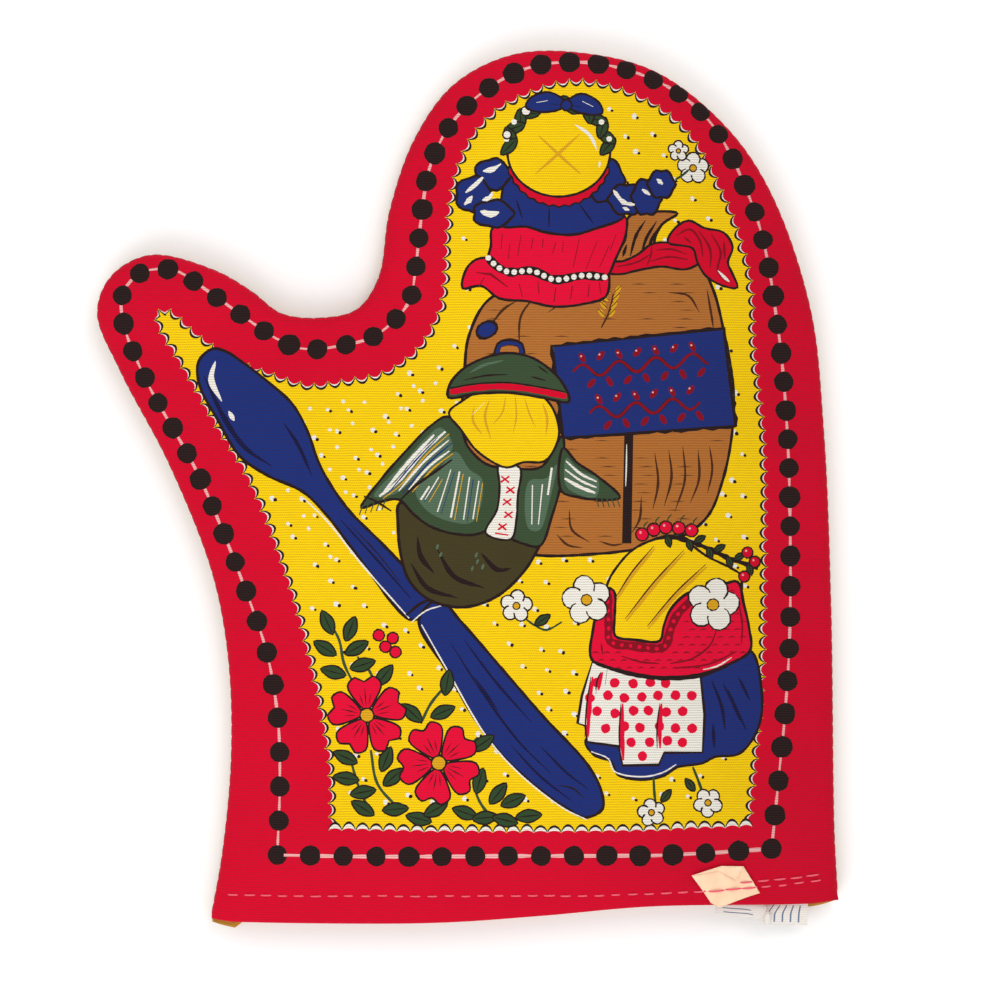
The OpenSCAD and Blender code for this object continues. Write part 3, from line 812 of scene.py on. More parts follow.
        drawBlossom(x, y, r)
    stroke([(62.2, 222.8), (64.6, 224.4), (66.4, 226)], 0.8, "leaf", 0.3)


def drawBlossom(x, y, r, turn=0.3):
    for k in range(5):
        a = turn + 2 * math.pi * k / 5
        ringed(x + 0.6 * r * math.cos(a), y + 0.6 * r * math.sin(a), 0.46 * r, "white", 0.5, 11)
    disc(x, y, 0.5 * r, "white", 10)
    ringed(x, y, 0.24 * r, "golden", 0.4, 8)


def drawMiddleGroup():
    # a dumpling under a green lid, in a striped cloth, set in an olive pot
    pot = [(-20.3, 126), (-20.8, 119), (-20, 110.6), (-17.6, 103), (-12.1, 97.4), (-4.7, 95), (2, 95.3),
           (9.3, 98.4), (15.5, 103.9), (19.8, 110), (21.6, 115), (14, 119), (0, 120), (-12, 124)]
    outlined(pot, "olive", 0.9)
    strokes(([(-17, 108), (-12, 100.6), (-3, 97.6)], [(-9, 112), (-4, 104), (5, 100.6)],
             [(4, 111), (9, 106), (13, 106.4)], [(-15, 116), (-14, 110), (-10, 105)]), 1.6, "black", 0.9)
    for x, y in ((3, 108.6), (-9, 113), (2.6, 110.4), (4.6, 107), (-8, 110.6), (1.4, 106.4)):
        disc(x, y, 0.4, "stripe", 6, 0.2, 2.2, 1.2)
    cloth = [(-6, 151.9), (-10.9, 149.2), (-18.2, 141.8), (-25.6, 133.4), (-31.8, 124.6), (-26.5, 126.2),
             (-20.6, 127), (-16.4, 122.9), (-11.5, 119.2), (-4.7, 116.9), (2, 116.5), (6.3, 117.6),
             (12.6, 115.4), (16.7, 113.8), (21.6, 113.1), (25.3, 122.3), (27.7, 130.8), (28.9, 140.6),
             (28.3, 146.1), (22.2, 136.9), (14, 136.3), (5.7, 137.6), (0, 143), (-1.9, 148)]
    outlined(cloth, "green", 0.8)
    corner = [(28.6, 142.5), (32.6, 138.2), (38.6, 134.2), (45.6, 127.6), (38.4, 127), (32.8, 127.8),
              (28, 129.6)]
    outlined(corner, "green", 0.8)
    for k in range(5):                                # fringe at the towel's two free corners
        left = [(-31.4 + 1.7 * k, 125.2 + 0.4 * k), (-32.4 + 1.7 * k, 122.4 + 0.4 * k)]
        stroke(left, 0.5, "green", 0.3, smooth=False)
        stroke([(38.6 + 1.5 * k, 127.4), (39.2 + 1.6 * k, 124.8)], 0.5, "green", 0.3, smooth=False)
    panels = ([(-8, 148.6), (-12.4, 145.6), (-19, 138.2), (-28, 128), (-22, 128.6), (-16, 133),
               (-8.4, 137.4), (-4.4, 143)],
              [(-3.6, 141.4), (-9, 136), (-15.6, 130.4), (-13.4, 125), (-7.6, 121.2), (1.6, 120.4),
               (4.4, 133), (0.6, 136)],
              [(18.4, 132.6), (18.2, 118.4), (21.4, 117.8), (24.6, 127), (26.6, 137.6), (23.6, 133.4)],
              [(29.6, 139.6), (33.4, 135.8), (39, 133.2), (38.4, 127.8), (33, 128.6), (29.4, 131.2)])
    for panel in panels:
        fill(panel, "stripe")
    stripes = ([(-6.6, 147.4), (-13, 141.6), (-21, 132.2), (-26.4, 128)],
               [(-5.6, 144.8), (-12.8, 138.6), (-20.6, 129.6)], [(-5.4, 141.6), (-11.4, 137), (-17.6, 130)],
               [(-10, 146.4), (-17, 139), (-25, 129.4)], [(-8.6, 133.8), (-12.6, 127)],
               [(-5, 136), (-9, 123.4)], [(-2.4, 135.4), (-5, 121.6)], [(0.6, 133.8), (-1.2, 121)],
               [(3.4, 132.6), (1.6, 121.2)], [(-11.4, 131), (-14, 127)], [(19.4, 131.4), (19.2, 119.6)],
               [(22.4, 131.6), (21.2, 119.6)], [(25.2, 136.6), (24, 128.4)],
               [(29.4, 138.6), (34, 134.6), (38.6, 132.4)], [(29.2, 136), (34, 132.6), (38.6, 130.6)],
               [(29, 133.4), (33.6, 130.8), (38.2, 129)])
    for i, line in enumerate(stripes):
        stroke(line, 0.7 + 0.4 * (i % 3 == 0), "white", 0.5, len(line) > 2)
    for i, line in enumerate(stripes[:10]):
        stroke([(x + 1.1, y - 0.7) for x, y in line], 0.45, "blue" if i % 2 else "golden", 0.5, len(line) > 2)
    stroke([(-20.4, 126.6), (-15.8, 131), (-9.6, 135.4), (-4.6, 139)], 0.8, "black", 0.4)
    stroke([(-31, 128), (-27.6, 126.6), (-22.8, 123.6)], 0.7, "black", 0.3)
    front = [(9.4, 137.4), (15.6, 136.6), (15, 128), (14.6, 121), (13, 115.2), (5.4, 117), (8.8, 124),
             (9.6, 131)]
    outlined(front, "white", 0.7)
    for x, y in ((11.4, 133), (13, 129.8), (12, 126.2), (12.4, 122.4), (10.6, 118.8)):
        stroke([(x - 1.5, y - 0.8), (x + 1.1, y + 1.0)], 0.55, "red", 0, smooth=False)
        stroke([(x - 1.3, y + 1.0), (x + 1.0, y - 0.9)], 0.55, "red", 0, smooth=False)
    stroke([(8.2, 117), (12.2, 116.4)], 0.7, "red", 0.4, smooth=False)
    dumpling = [(10.6, 163), (4.5, 160.2), (-1.7, 156.5), (-5.6, 153), (-1.7, 147.6), (2, 142.4),
                (6.9, 138.6), (11.8, 136.6), (16.7, 138.2), (22.8, 138.4), (25.8, 141.8), (27.4, 147.4),
                (25.6, 154.1), (21.6, 158.8), (16.7, 161.5)]
    outlined(dumpling, "yellow", 0.75)
    strokes(([(2, 155), (1.6, 150.6), (4.4, 146.4)], [(6.6, 157), (5.2, 152), (7, 145)],
             [(22.4, 156), (23.8, 151.4), (23.4, 146)]), 0.8, "golden", 0.9)
    stroke([(1.4, 152.4), (5, 156)], 1.0, "white", 0.9, smooth=False)
    strokes(([(11.4, 158), (10.4, 153), (7.6, 149.6)], [(14.2, 158.2), (14.6, 152), (13.6, 146.8)],
             [(17, 157.6), (18.6, 152.4), (20.4, 148.6)]), 0.55, "golden", 0.8)
    lid = [(-5.8, 157.6), (-5.4, 161.4), (-1.8, 165.8), (4, 169), (11, 170.8), (18.4, 169.8), (24.4, 166.2),
           (28.6, 161.6), (30.4, 156.4), (22, 157.6), (12, 159), (2, 158.6)]
    outlined(lid, "green", 0.8)
    stroke([(-5.2, 159.2), (2, 160.4), (12, 160.8), (22, 159.4), (29.6, 157.9)], 1.8, "red", 0)
    stroke([(-5.2, 160.4), (2, 161.6), (12, 162), (22, 160.6), (29.2, 159.2)], 0.5, "black", 0)
    stroke([(0.6, 165), (5, 167.3), (10.6, 168.6)], 0.9, "stripe", 0.8)
    strokes(([(-1, 162.8), (6, 164.2), (12, 164.4)], [(19, 163.8), (23.4, 162.6)], [(21, 167), (24, 164.8)]),
            0.55, "black", 0.7)
    stroke([(8.6, 170.6), (9.4, 173.2), (12.6, 174.2), (15.8, 173.2), (16.4, 170.6)], 2.0, "black", 0)
    stroke([(8.8, 170.8), (9.6, 173), (12.6, 173.9), (15.6, 173), (16.2, 170.8)], 1.0, "blue", 0)


def drawBasketGroup():
    # a yellow bun in a red basket with white blossoms, on spotted and blue napkins
    blue = [(60, 76), (70.2, 76), (84.4, 82), (88, 69.6), (87.4, 60.1), (84.3, 53.8), (80.9, 50.7), (74, 50),
            (70.2, 48.1), (62.6, 46.9), (58.8, 44.4), (51.9, 43.2), (44.9, 44.8), (43, 48.6), (38, 50.5),
            (35.2, 54.9), (45, 60)]
    outlined(blue, "blue", 0.8)
    strokes(([(76.4, 72), (80, 65), (83.4, 58)], [(73, 73), (76, 65), (77, 58)], [(81, 74), (84.4, 67)],
             [(73.4, 60), (73.8, 52.6)], [(78, 70), (81.4, 61)]), 1.0, "navy", 0.8)
    stroke([(37, 51.6), (42.2, 49.4), (43.8, 45.8), (51.9, 44.1), (58.4, 45.4),
            (62.4, 47.8)], 0.45, "white", 0.3)
    spotted = [(37.3, 78.4), (45.6, 76.4), (55, 74.6), (69.6, 74.8), (70.9, 62.7), (70.3, 51.4), (58.8, 51.3),
               (57.2, 47.7), (46.4, 47.5), (45.2, 53.2), (35.8, 54.5), (35.3, 59.3), (32.9, 60.1),
               (34.2, 68.3)]
    outlined(spotted, "white", 0.8, smooth=False)
    shape = np.array(spotted)
    for row, y in enumerate(np.arange(50, 77, 4.5), 1):
        for x in np.arange(34 + (row % 2) * 2.6, 71, 5.1):
            sx, sy = x + hand.uniform(-0.5, 0.5), y + hand.uniform(-0.5, 0.5)
            ring = np.array(ellipse(sx, sy, 1.9, 1.9, np.linspace(0, 6.28, 9)))
            if insidePolygon(ring, shape).all():
                disc(sx, sy, 1.5, "brightRed", 11, 0.08)
    for x0, y0, x1, y1 in ((46.6, 49, 46.4, 66), (57.6, 52.6, 58, 66), (36, 56, 37.4, 74),
                           (39.2, 70, 40.4, 75.4)):
        stroke([(x0, y0), ((x0 + x1) / 2 - 0.3, (y0 + y1) / 2), (x1, y1)], 1.5, "brightRed", 0.7)
        stroke([(x0 - 0.9, y0), ((x0 + x1) / 2 - 1.1, (y0 + y1) / 2), (x1 - 0.5, y1)], 0.5, "black", 0.6)
    for x, y in ((38.4, 68.8), (41.2, 71.6)):
        stroke([(x, y), (x + 0.6, y + 5)], 0.5, "black", 0.7, smooth=False)
    bun = [(41.2, 98), (42.2, 102.8), (45.6, 108.1), (49.3, 111.9), (54.4, 114.6), (60.1, 115.9),
           (65.1, 114.6), (71.4, 110.2), (79, 106.4), (81.7, 104.3), (80, 92), (70, 82), (50, 82), (42.4, 88)]
    outlined(bun, "yellow", 0.75)
    for slash in ([(44.6, 97), (49.4, 104.6), (56, 112.4)], [(47.4, 90.6), (56, 101.6), (65, 111.2)],
                  [(54, 88.4), (62.6, 98.6), (71.6, 107)]):
        stroke(slash, 1.3, "golden", 0.7)
        stroke([(x - 0.3, y + 0.7) for x, y in slash], 0.45, "darkBrown", 0.6)
    basket = [(40.5, 100.5), (43.7, 99.8), (44, 92), (44.2, 86.2), (50, 85.1), (57.5, 84.8), (58.6, 89),
              (60.6, 94), (65.1, 98.6), (70, 100.6), (76, 101.6), (80.8, 102.4), (82.6, 96), (84.3, 88.5),
              (84.6, 81.9), (77.7, 77.6), (68.9, 74.7), (62, 74), (55, 74.1), (45.6, 76), (37.2, 79.1),
              (37.6, 88.5), (39, 95)]
    outlined(basket, "brightRed", 0.85)
    trim = [(41.8, 99), (42.2, 90), (42.6, 84.6), (49.6, 83.2), (58.8, 83), (60.6, 88), (62.6, 92.4),
            (66.6, 96.6)]
    stroke(trim, 2.6, "darkRed", 0)
    for x, y in evenLine(smoothLine(trim, 1), 2.6):
        disc(x, y, 0.62, "brightRed", 6, 0.2)
    shape = smoothLine(basket, 1.6, True)
    for row, y in enumerate(np.arange(76.5, 101, 2.3)):       # the basket's weave
        for x in np.arange(38 + 1.7 * (row % 2), 85, 3.4):
            ends = np.array([(x - 0.9, y), (x + 1.4, y + 0.1)])
            clear = np.linalg.norm(smoothLine(trim, 1)[:, None] - ends[None], axis=2).min() > 2.2
            if clear and insidePolygon(ends, shape).all():
                stroke([(x - 0.8, y), (x + 0.3, y + 0.35), (x + 1.3, y + 0.1)], 0.42, "darkRed", 0.7)
    strokes(([(60.6, 78), (67, 79.4), (72.6, 83.6), (74.6, 88.6)], [(62, 76.6), (72, 77.8), (80.6, 81.6)],
             [(40, 84), (40.4, 80.6)], [(80.6, 98), (82.2, 90), (82, 84)],
             [(46, 80.2), (52, 78.4), (57.4, 78)]), 0.6, "darkRed", 0.5)
    stroke([(37.4, 78.6), (45.6, 75.6), (55, 73.8), (62, 73.6), (69, 74.2), (77.6, 77.2)], 1.3, "black", 0.3)
    stroke([(70.4, 76.2), (74.6, 77.2), (79, 79.8)], 0.5, "white", 0.6)
    for x, y, r, turn in ((35.6, 97, 7.0, 0.5), (73.4, 95.6, 7.6, 0.1)):
        drawBlossom(x, y, r, turn)
    stroke([(28.2, 90.4), (23.6, 88), (20.4, 89.2), (17, 91.6)], 0.7, "leaf", 0.4)
    drawBlossom(14.6, 95.2, 4.6, 0.2)
    drawLeaf(22.4, 91, 0.6, 0.7)
    rope = [(56.3, 115.3), (60.1, 115.9), (66.4, 114.6), (72.7, 112), (78.4, 109.4), (83.4, 107.7),
            (87, 106.4)]
    stroke(rope, 1.5, "black", 0.3, wobble=0.3)
    for k, (x, y) in enumerate(evenLine(smoothLine(rope, 1), 3.4)[1:-1]):
        drawLeaf(x + 0.6, y + (1.5 if k % 2 else -1.3), 0.5 if k % 2 else -1.3, 0.5)
    for x, y in ((52.2, 116.6), (55.7, 118), (59.3, 118.7), (63.2, 118.5), (67, 117.8)):
        ringed(x, y, 1.95, "brightRed", 0.5, 11)
        disc(x - 0.5, y + 0.6, 0.4, "pink", 6)
        stroke([(x + 0.4, y + 1.8), (x + 0.8, y + 3), (x + 1.8, y + 3.9)], 0.45, "leaf", 0.3)
    for x, y in ((83.8, 111.2), (82.8, 104), (86, 108.4)):
        ringed(x, y, 1.7, "red", 0.5, 10)
        disc(x - 0.4, y + 0.5, 0.35, "pink", 6)
    stroke([(55.6, 44), (56, 38), (56.6, 34.4)], 0.8, "leaf", 0.2)
    stroke([(67.4, 47), (69.4, 42), (71, 37.4)], 0.8, "leaf", 0.2)
    drawBlossom(55, 33.4, 4.0, 0.5)
    drawBlossom(72, 36.2, 4.2, 0.9)
    drawLeaf(59.4, 38.4, 0.9, 0.6)
    drawLeaf(66.6, 41.6, 2.2, 0.6)


def drawPicture():
    field = drawBorder()
    drawSpeckles(field)
    drawSpoon()
    drawGarden()
    drawSack()
    drawSign()
    drawRibbon()
    drawTopGroup()
    drawMiddleGroup()
    drawBasketGroup()


def inkOf(centres):
    inks = np.zeros(len(centres), int)
    order = np.argsort(centres[:, 0])
    sortedX = centres[order, 0]
    for polygon, ink in printed:
        low, high = polygon.min(0), polygon.max(0)
        some = order[np.searchsorted(sortedX, low[0]):np.searchsorted(sortedX, high[0])]
        some = some[(centres[some, 1] > low[1]) & (centres[some, 1] < high[1])]
        if len(some):
            inks[some[insidePolygon(centres[some], polygon)]] = ink
    return inks


# materials


class Wiring:
    def __init__(self, name):
        self.material = bpy.data.materials.new(name)
        self.material.use_nodes = True
        self.tree = self.material.node_tree
        self.shader = self.tree.nodes["Principled BSDF"]

    def node(self, kind, **settings):
        made = self.tree.nodes.new(kind)
        for key, value in settings.items():
            setattr(made, key, value)
        return made

    def join(self, a, b):
        self.tree.links.new(a, b)

    def math(self, operation, *values):
        made = self.node("ShaderNodeMath", operation=operation)
        for socket, value in zip(made.inputs, values):
            if isinstance(value, (int, float)):
                socket.default_value = value
            else:
                self.join(value, socket)
        return made.outputs[0]

    def noise(self, vector, scale, detail=2.0):
        made = self.node("ShaderNodeTexNoise")
        made.inputs["Scale"].default_value = scale
        made.inputs["Detail"].default_value = detail
        self.join(vector, made.inputs["Vector"])
        return made.outputs["Fac"]

    def stretched(self, vector, scale):
        made = self.node("ShaderNodeMapping")
        made.inputs["Scale"].default_value = scale
        self.join(vector, made.inputs["Vector"])
        return made.outputs[0]

    def ramp(self, value, dark, light, end=1.0):
        made = self.node("ShaderNodeValToRGB")
        made.color_ramp.elements[0].color = dark
        made.color_ramp.elements[1].color = light
        made.color_ramp.elements[1].position = end
        self.join(value, made.inputs[0])
        self.join(made.outputs[0], self.shader.inputs["Base Color"])

    def bump(self, height, strength, distance):
        made = self.node("ShaderNodeBump")
        made.inputs["Strength"].default_value = strength
        made.inputs["Distance"].default_value = distance
        self.join(height, made.inputs["Height"])
        self.join(made.outputs[0], self.shader.inputs["Normal"])


# gap is how strongly painted shade darkens the gaps between the threads
weave = {"ribPitch": 0.74, "warpPitch": 0.56, "gap": 0.5, "slub": 0.10, "fade": 0.07, "relief": 0.00016}


def cottonMaterial(name, colour=None, slack=1.0, roughness=0.86):
    w = Wiring(name)
    place = w.node("ShaderNodeAttribute", attribute_name="cutMap").outputs["Vector"]
    split = w.node("ShaderNodeSeparateXYZ")
    w.join(place, split.inputs[0])
    x, y = split.outputs[0], split.outputs[1]
    drift = w.noise(place, 0.09, 3)
    y = w.math("ADD", y, w.math("MULTIPLY", drift, 0.5))
    rib = w.math("SINE", w.math("MULTIPLY", y, 2 * math.pi / weave["ribPitch"]))
    shift = w.math("MULTIPLY", w.math("FLOOR", w.math("DIVIDE", y, weave["ribPitch"])), math.pi)
    warp = w.math("SINE", w.math("ADD", w.math("MULTIPLY", x, 2 * math.pi / weave["warpPitch"]), shift))
    thread = w.math("ADD", w.math("MULTIPLY", rib, 0.36), w.math("MULTIPLY", warp, 0.14))
    thread = w.math("ADD", thread, 0.5)                       # 0 in the gaps, 1 on the ribs
    slub = w.noise(w.stretched(place, (0.35, 2.4, 1)), 1.0, 3)
    patch = w.noise(place, 0.035, 4)
    hair = w.noise(place, 3.0, 2)
    if colour is None:
        base = w.node("ShaderNodeAttribute", attribute_name="dye").outputs["Color"]
    else:
        plain = w.node("ShaderNodeRGB")
        plain.outputs[0].default_value = linear(colour)
        base = plain.outputs[0]
    # painted shade: the colour is mixed towards a dark brown in the gaps between the threads, where the bump
    # dips
    gaps = w.node("ShaderNodeMix", data_type="RGBA", blend_type="MIX")
    w.join(base, gaps.inputs["A"])
    gaps.inputs["B"].default_value = (0.05, 0.02, 0.018, 1)
    depth = w.math("SUBTRACT", 1.0, thread)
    depth = w.math("MULTIPLY", w.math("POWER", w.math("MAXIMUM", depth, 0.0), 2.0), weave["gap"] * slack)
    w.join(depth, gaps.inputs["Factor"])
    tone = w.node("ShaderNodeHueSaturation")
    light = w.math("ADD", w.math("MULTIPLY", w.math("SUBTRACT", slub, 0.5), weave["slub"] * 2), 1.045)
    light = w.math("ADD", light, w.math("MULTIPLY", w.math("SUBTRACT", patch, 0.5), weave["fade"] * 2))
    light = w.math("ADD", light, w.math("MULTIPLY", w.math("SUBTRACT", hair, 0.5), 0.10))
    w.join(light, tone.inputs["Value"])
    w.join(gaps.outputs["Result"], tone.inputs["Color"])
    w.join(tone.outputs[0], w.shader.inputs["Base Color"])
    height = w.math("ADD", w.math("MULTIPLY", thread, 0.8), w.math("MULTIPLY", hair, 0.35))
    height = w.math("ADD", height, w.math("MULTIPLY", slub, 0.5))
    w.bump(height, 0.55, weave["relief"])
    rough = w.math("ADD", w.math("MULTIPLY", hair, 0.12), roughness - 0.06)
    w.join(rough, w.shader.inputs["Roughness"])
    w.shader.inputs["Specular IOR Level"].default_value = 0.05
    return w.material


def threadMaterial(name, colour):
    w = Wiring(name)
    place = w.node("ShaderNodeTexCoord").outputs["Object"]
    wave = w.node("ShaderNodeTexWave", wave_type="BANDS", bands_direction="DIAGONAL")
    wave.inputs["Scale"].default_value = 900
    wave.inputs["Distortion"].default_value = 1.5
    w.join(place, wave.inputs["Vector"])
    # painted shade: the ramp darkens the thread to 0.62 of its colour in the low grooves of its twist
    w.ramp(wave.outputs["Fac"], tuple(0.62 * c for c in linear(colour)[:3]) + (1,), linear(colour), 0.6)
    w.bump(wave.outputs["Fac"], 0.6, 0.00008)
    rough = w.math("ADD", w.math("MULTIPLY", w.noise(place, 1500), 0.2), 0.5)
    w.join(rough, w.shader.inputs["Roughness"])
    w.shader.inputs["Sheen Weight"].default_value = 0.15
    return w.material


def paperMaterial(name):
    w = Wiring(name)
    place = w.node("ShaderNodeTexCoord").outputs["Object"]
    w.ramp(w.noise(place, 260, 5), linear((232, 186, 150)), linear((252, 222, 186)))
    fibres = w.noise(place, 5200, 3)
    w.bump(fibres, 0.35, 0.00005)
    w.join(w.math("ADD", w.math("MULTIPLY", fibres, 0.2), 0.55), w.shader.inputs["Roughness"])
    return w.material


def fibreMaterial(name):
    w = Wiring(name)
    place = w.node("ShaderNodeTexCoord").outputs["Object"]
    tangle = w.noise(place, 900, 6)
    w.ramp(tangle, linear((214, 208, 194)), linear((248, 245, 236)))
    w.bump(tangle, 0.8, 0.0005)
    w.join(w.math("ADD", w.math("MULTIPLY", tangle, 0.15), 0.85), w.shader.inputs["Roughness"])
    return w.material


printedCotton = cottonMaterial("printedCotton")
goldenCotton = cottonMaterial("goldenCotton", (192, 136, 52))
liningCotton = cottonMaterial("liningCotton", (226, 214, 188), 0.8)
marginCotton = cottonMaterial("marginCotton", (186, 140, 96))
labelTape = cottonMaterial("labelTape", None, 0.35, 0.7)
waddingFibre = fibreMaterial("waddingFibre")
seamRed = threadMaterial("seamRed", (168, 16, 44))
hemPink = threadMaterial("hemPink", (250, 92, 116))
goldenThread = threadMaterial("goldenThread", (204, 150, 62))
ticketPaper = paperMaterial("ticketPaper")
print("materials ready")

# shells


def foldOut():
    a, b = np.array(cut["thumbFold"])
    along = (b - a) / np.linalg.norm(b - a)
    return np.array([-along[1], along[0]])


def thumbSide(centres):
    return (centres[:, :2] - np.array(cut["thumbFold"])[0]) @ foldOut() > 0


def foldLine():
    a, b = np.array(cut["thumbFold"])
    along = (b - a) / np.linalg.norm(b - a)
    return evenLine(np.array([a - 8 * along, b + 8 * along]), 2.5)


def cutOutline(inset, back=False, step=2.2):
    # the cut moved in from the seam by inset and up from the cuff edge by the hem's roll
    side = evenLine(sideCurve, step)
    side = side - sideways(side) * inset
    roll = form["hemRoll"] + inset
    xs = side[:, 0]
    side = side[side[:, 1] > cuffY(xs, back) + roll + 0.3]
    xLeft, xRight = side[0, 0], side[-1, 0]
    xCuff = np.linspace(xRight, xLeft, round((xRight - xLeft) / step) + 1)
    row = np.column_stack([xCuff, cuffY(xCuff, back) + roll])
    return np.vstack([side, row]), side, row


def hemFoldAt(depth):
    return 0.7 + ease(depth) + (form["hemFold"] - 1.7) * ease(depth / 14)


def makeShell(back):
    outline, side, row = cutOutline(0.0, back)
    outline = outline[::-1]                       # anticlockwise
    rings = []
    for inset in ((0.35, 0.9, 1.7, 2.6, 4.2) if not back else (0.5, 1.2, 2.4, 4.4, 7)):
        ring = side - sideways(side) * inset
        rings.append(ring[(ring[:, 1] > cuffY(ring[:, 0], back) + 1.6) & (nearSide(ring)[0] > 0.8 * inset)])
    lines = rings + [foldLine()] + (foldGuides() if back else [])
    loops = [] if back else [p for p, _ in printed]
    flat, triangles = meshFromLines(outline, lines, loops, 4.0 if back else 2.6, 3)
    height, depth = heightOf[back](flat)
    cloth = Cloth()
    cloth.addPoints(np.column_stack([flat, height]), flat)
    inks = np.zeros(len(triangles), int) if back else inkOf(flat[triangles].mean(1))
    cloth.addFaces(triangles.tolist(), inks.tolist())
    loop = borderLoop(triangles)
    left, right = (int(np.argmin(np.linalg.norm(flat[loop] - c, axis=1))) for c in (row[-1], row[0]))
    loop = loop[left:] + loop[:left]
    right = (right - left) % len(loop)
    cuffRun, sideRun = loop[:right + 1], loop[right:] + loop[:1]
    up = -1 if not back else 1                    # towards the inside of the mitt
    # the rolled side edge tucks into the seam
    p = flat[sideRun]
    inward = sideways(p)
    rows, flats = [], []
    for tuck, drop in ((0.02, 0.22), (0.2, 0.42), (0.5, 0.5), (0.8, 0.5)):
        z = np.full(len(p), form["seamZ"] - up * (0.5 - 0.86 * drop))
        rows.append(np.column_stack([p + inward * tuck, z]))
        flats.append(p - inward * (tuck + drop))
    cloth.addRows(sideRun, rows, flats)
    # the cuff folds over and returns inside as the hem
    p, base, deep = flat[cuffRun], height[cuffRun], depth[cuffRun]
    fold = hemFoldAt(deep)
    roll = 0.35 + (form["hemRoll"] - 0.35) * ease(deep / 8)
    rows, flats = [], []
    for angle in (22, 45, 68, 90, 112, 135, 158, 180):
        a = math.radians(angle)
        y = p[:, 1] - roll * math.sin(a)
        z = base + up * fold / 2 * (1 - math.cos(a))
        rows.append(np.column_stack([p[:, 0], y, z]))
        flats.append(np.column_stack([p[:, 0], p[:, 1] - angle / 180 * form["hemTurn"]]))
    for reach in (1.5, 3.5, 6.0, 8.5, form["hemDepth"] - 1):
        inner = np.column_stack([p[:, 0], p[:, 1] + reach])
        inner[:, 0] -= np.sign(inner[:, 0]) * 0.25 * reach * (deep < 2)
        z = heightOf[back](inner, True)[0] + up * fold
        rows.append(np.column_stack([inner, z]))
        flats.append(np.column_stack([p[:, 0], p[:, 1] - form["hemTurn"] - reach]))
    cloth.addRows(cuffRun, rows, flats)
    return cloth


def solidBetween(flat, triangles, topZ, bottomZ):
    cloth = Cloth()
    count = len(flat)
    cloth.addPoints(np.column_stack([flat, topZ]), flat)
    cloth.addPoints(np.column_stack([flat, bottomZ]), flat)
    cloth.addFaces(triangles.tolist(), [0] * len(triangles))
    cloth.addFaces((triangles[:, ::-1] + count).tolist(), [0] * len(triangles))
    loop = borderLoop(triangles)
    for a, b in zip(loop, loop[1:] + loop[:1]):
        cloth.addFaces([(b, a, a + count, b + count)], [0])
    return cloth


def foldShare(points):
    # 1 in the middle of the two stretches that bend, 0 away from them
    fingers = (points[:, 1] - cut["fingerFold"] + 4) / 38
    thumb = ((points - np.array(cut["thumbFold"]).mean(0)) @ foldOut() + 4) / 35
    return np.sqrt(np.sin(np.pi * np.clip(fingers, 0, 1))) + np.sqrt(np.sin(np.pi * np.clip(thumb, 0, 1)))


def foldGuides():
    # rows of points where the cloth bends, laid the same in every layer
    step = form["foldRows"]
    side, rows = evenLine(sideCurve, 2.0), []
    first, last = np.array(cut["thumbFold"], float)
    beyond = (last - first) * 0.2
    lines = [[(-30, cut["fingerFold"] + d), (110, cut["fingerFold"] + d)] for d in np.arange(0.6, 31, step)]
    for d in np.arange(2.4, 29, step):
        lines.append([first - beyond + foldOut() * d, last + beyond + foldOut() * d])
    for line in lines:
        points = evenLine(np.array(line, float), step)
        inside = insidePolygon(points, side) & (nearSide(points)[0] > 3.5)
        rows.append(points[inside])
    return [r for r in rows if len(r) > 1]


def layerCut(inset, spacing, seed):
    outline = cutOutline(inset, False, 3.0)[0]
    return meshFromLines(outline[::-1], [foldLine()] + foldGuides(), [], spacing, seed)


padding = {
    "spacing": 6.0, "pressure": 4.0, "frames": 20, "slack": -0.012, "mass": 0.25, "tension": 12,
    "bending": 0.35, "quality": 6, "most": 0.9, "smooth": 24
}


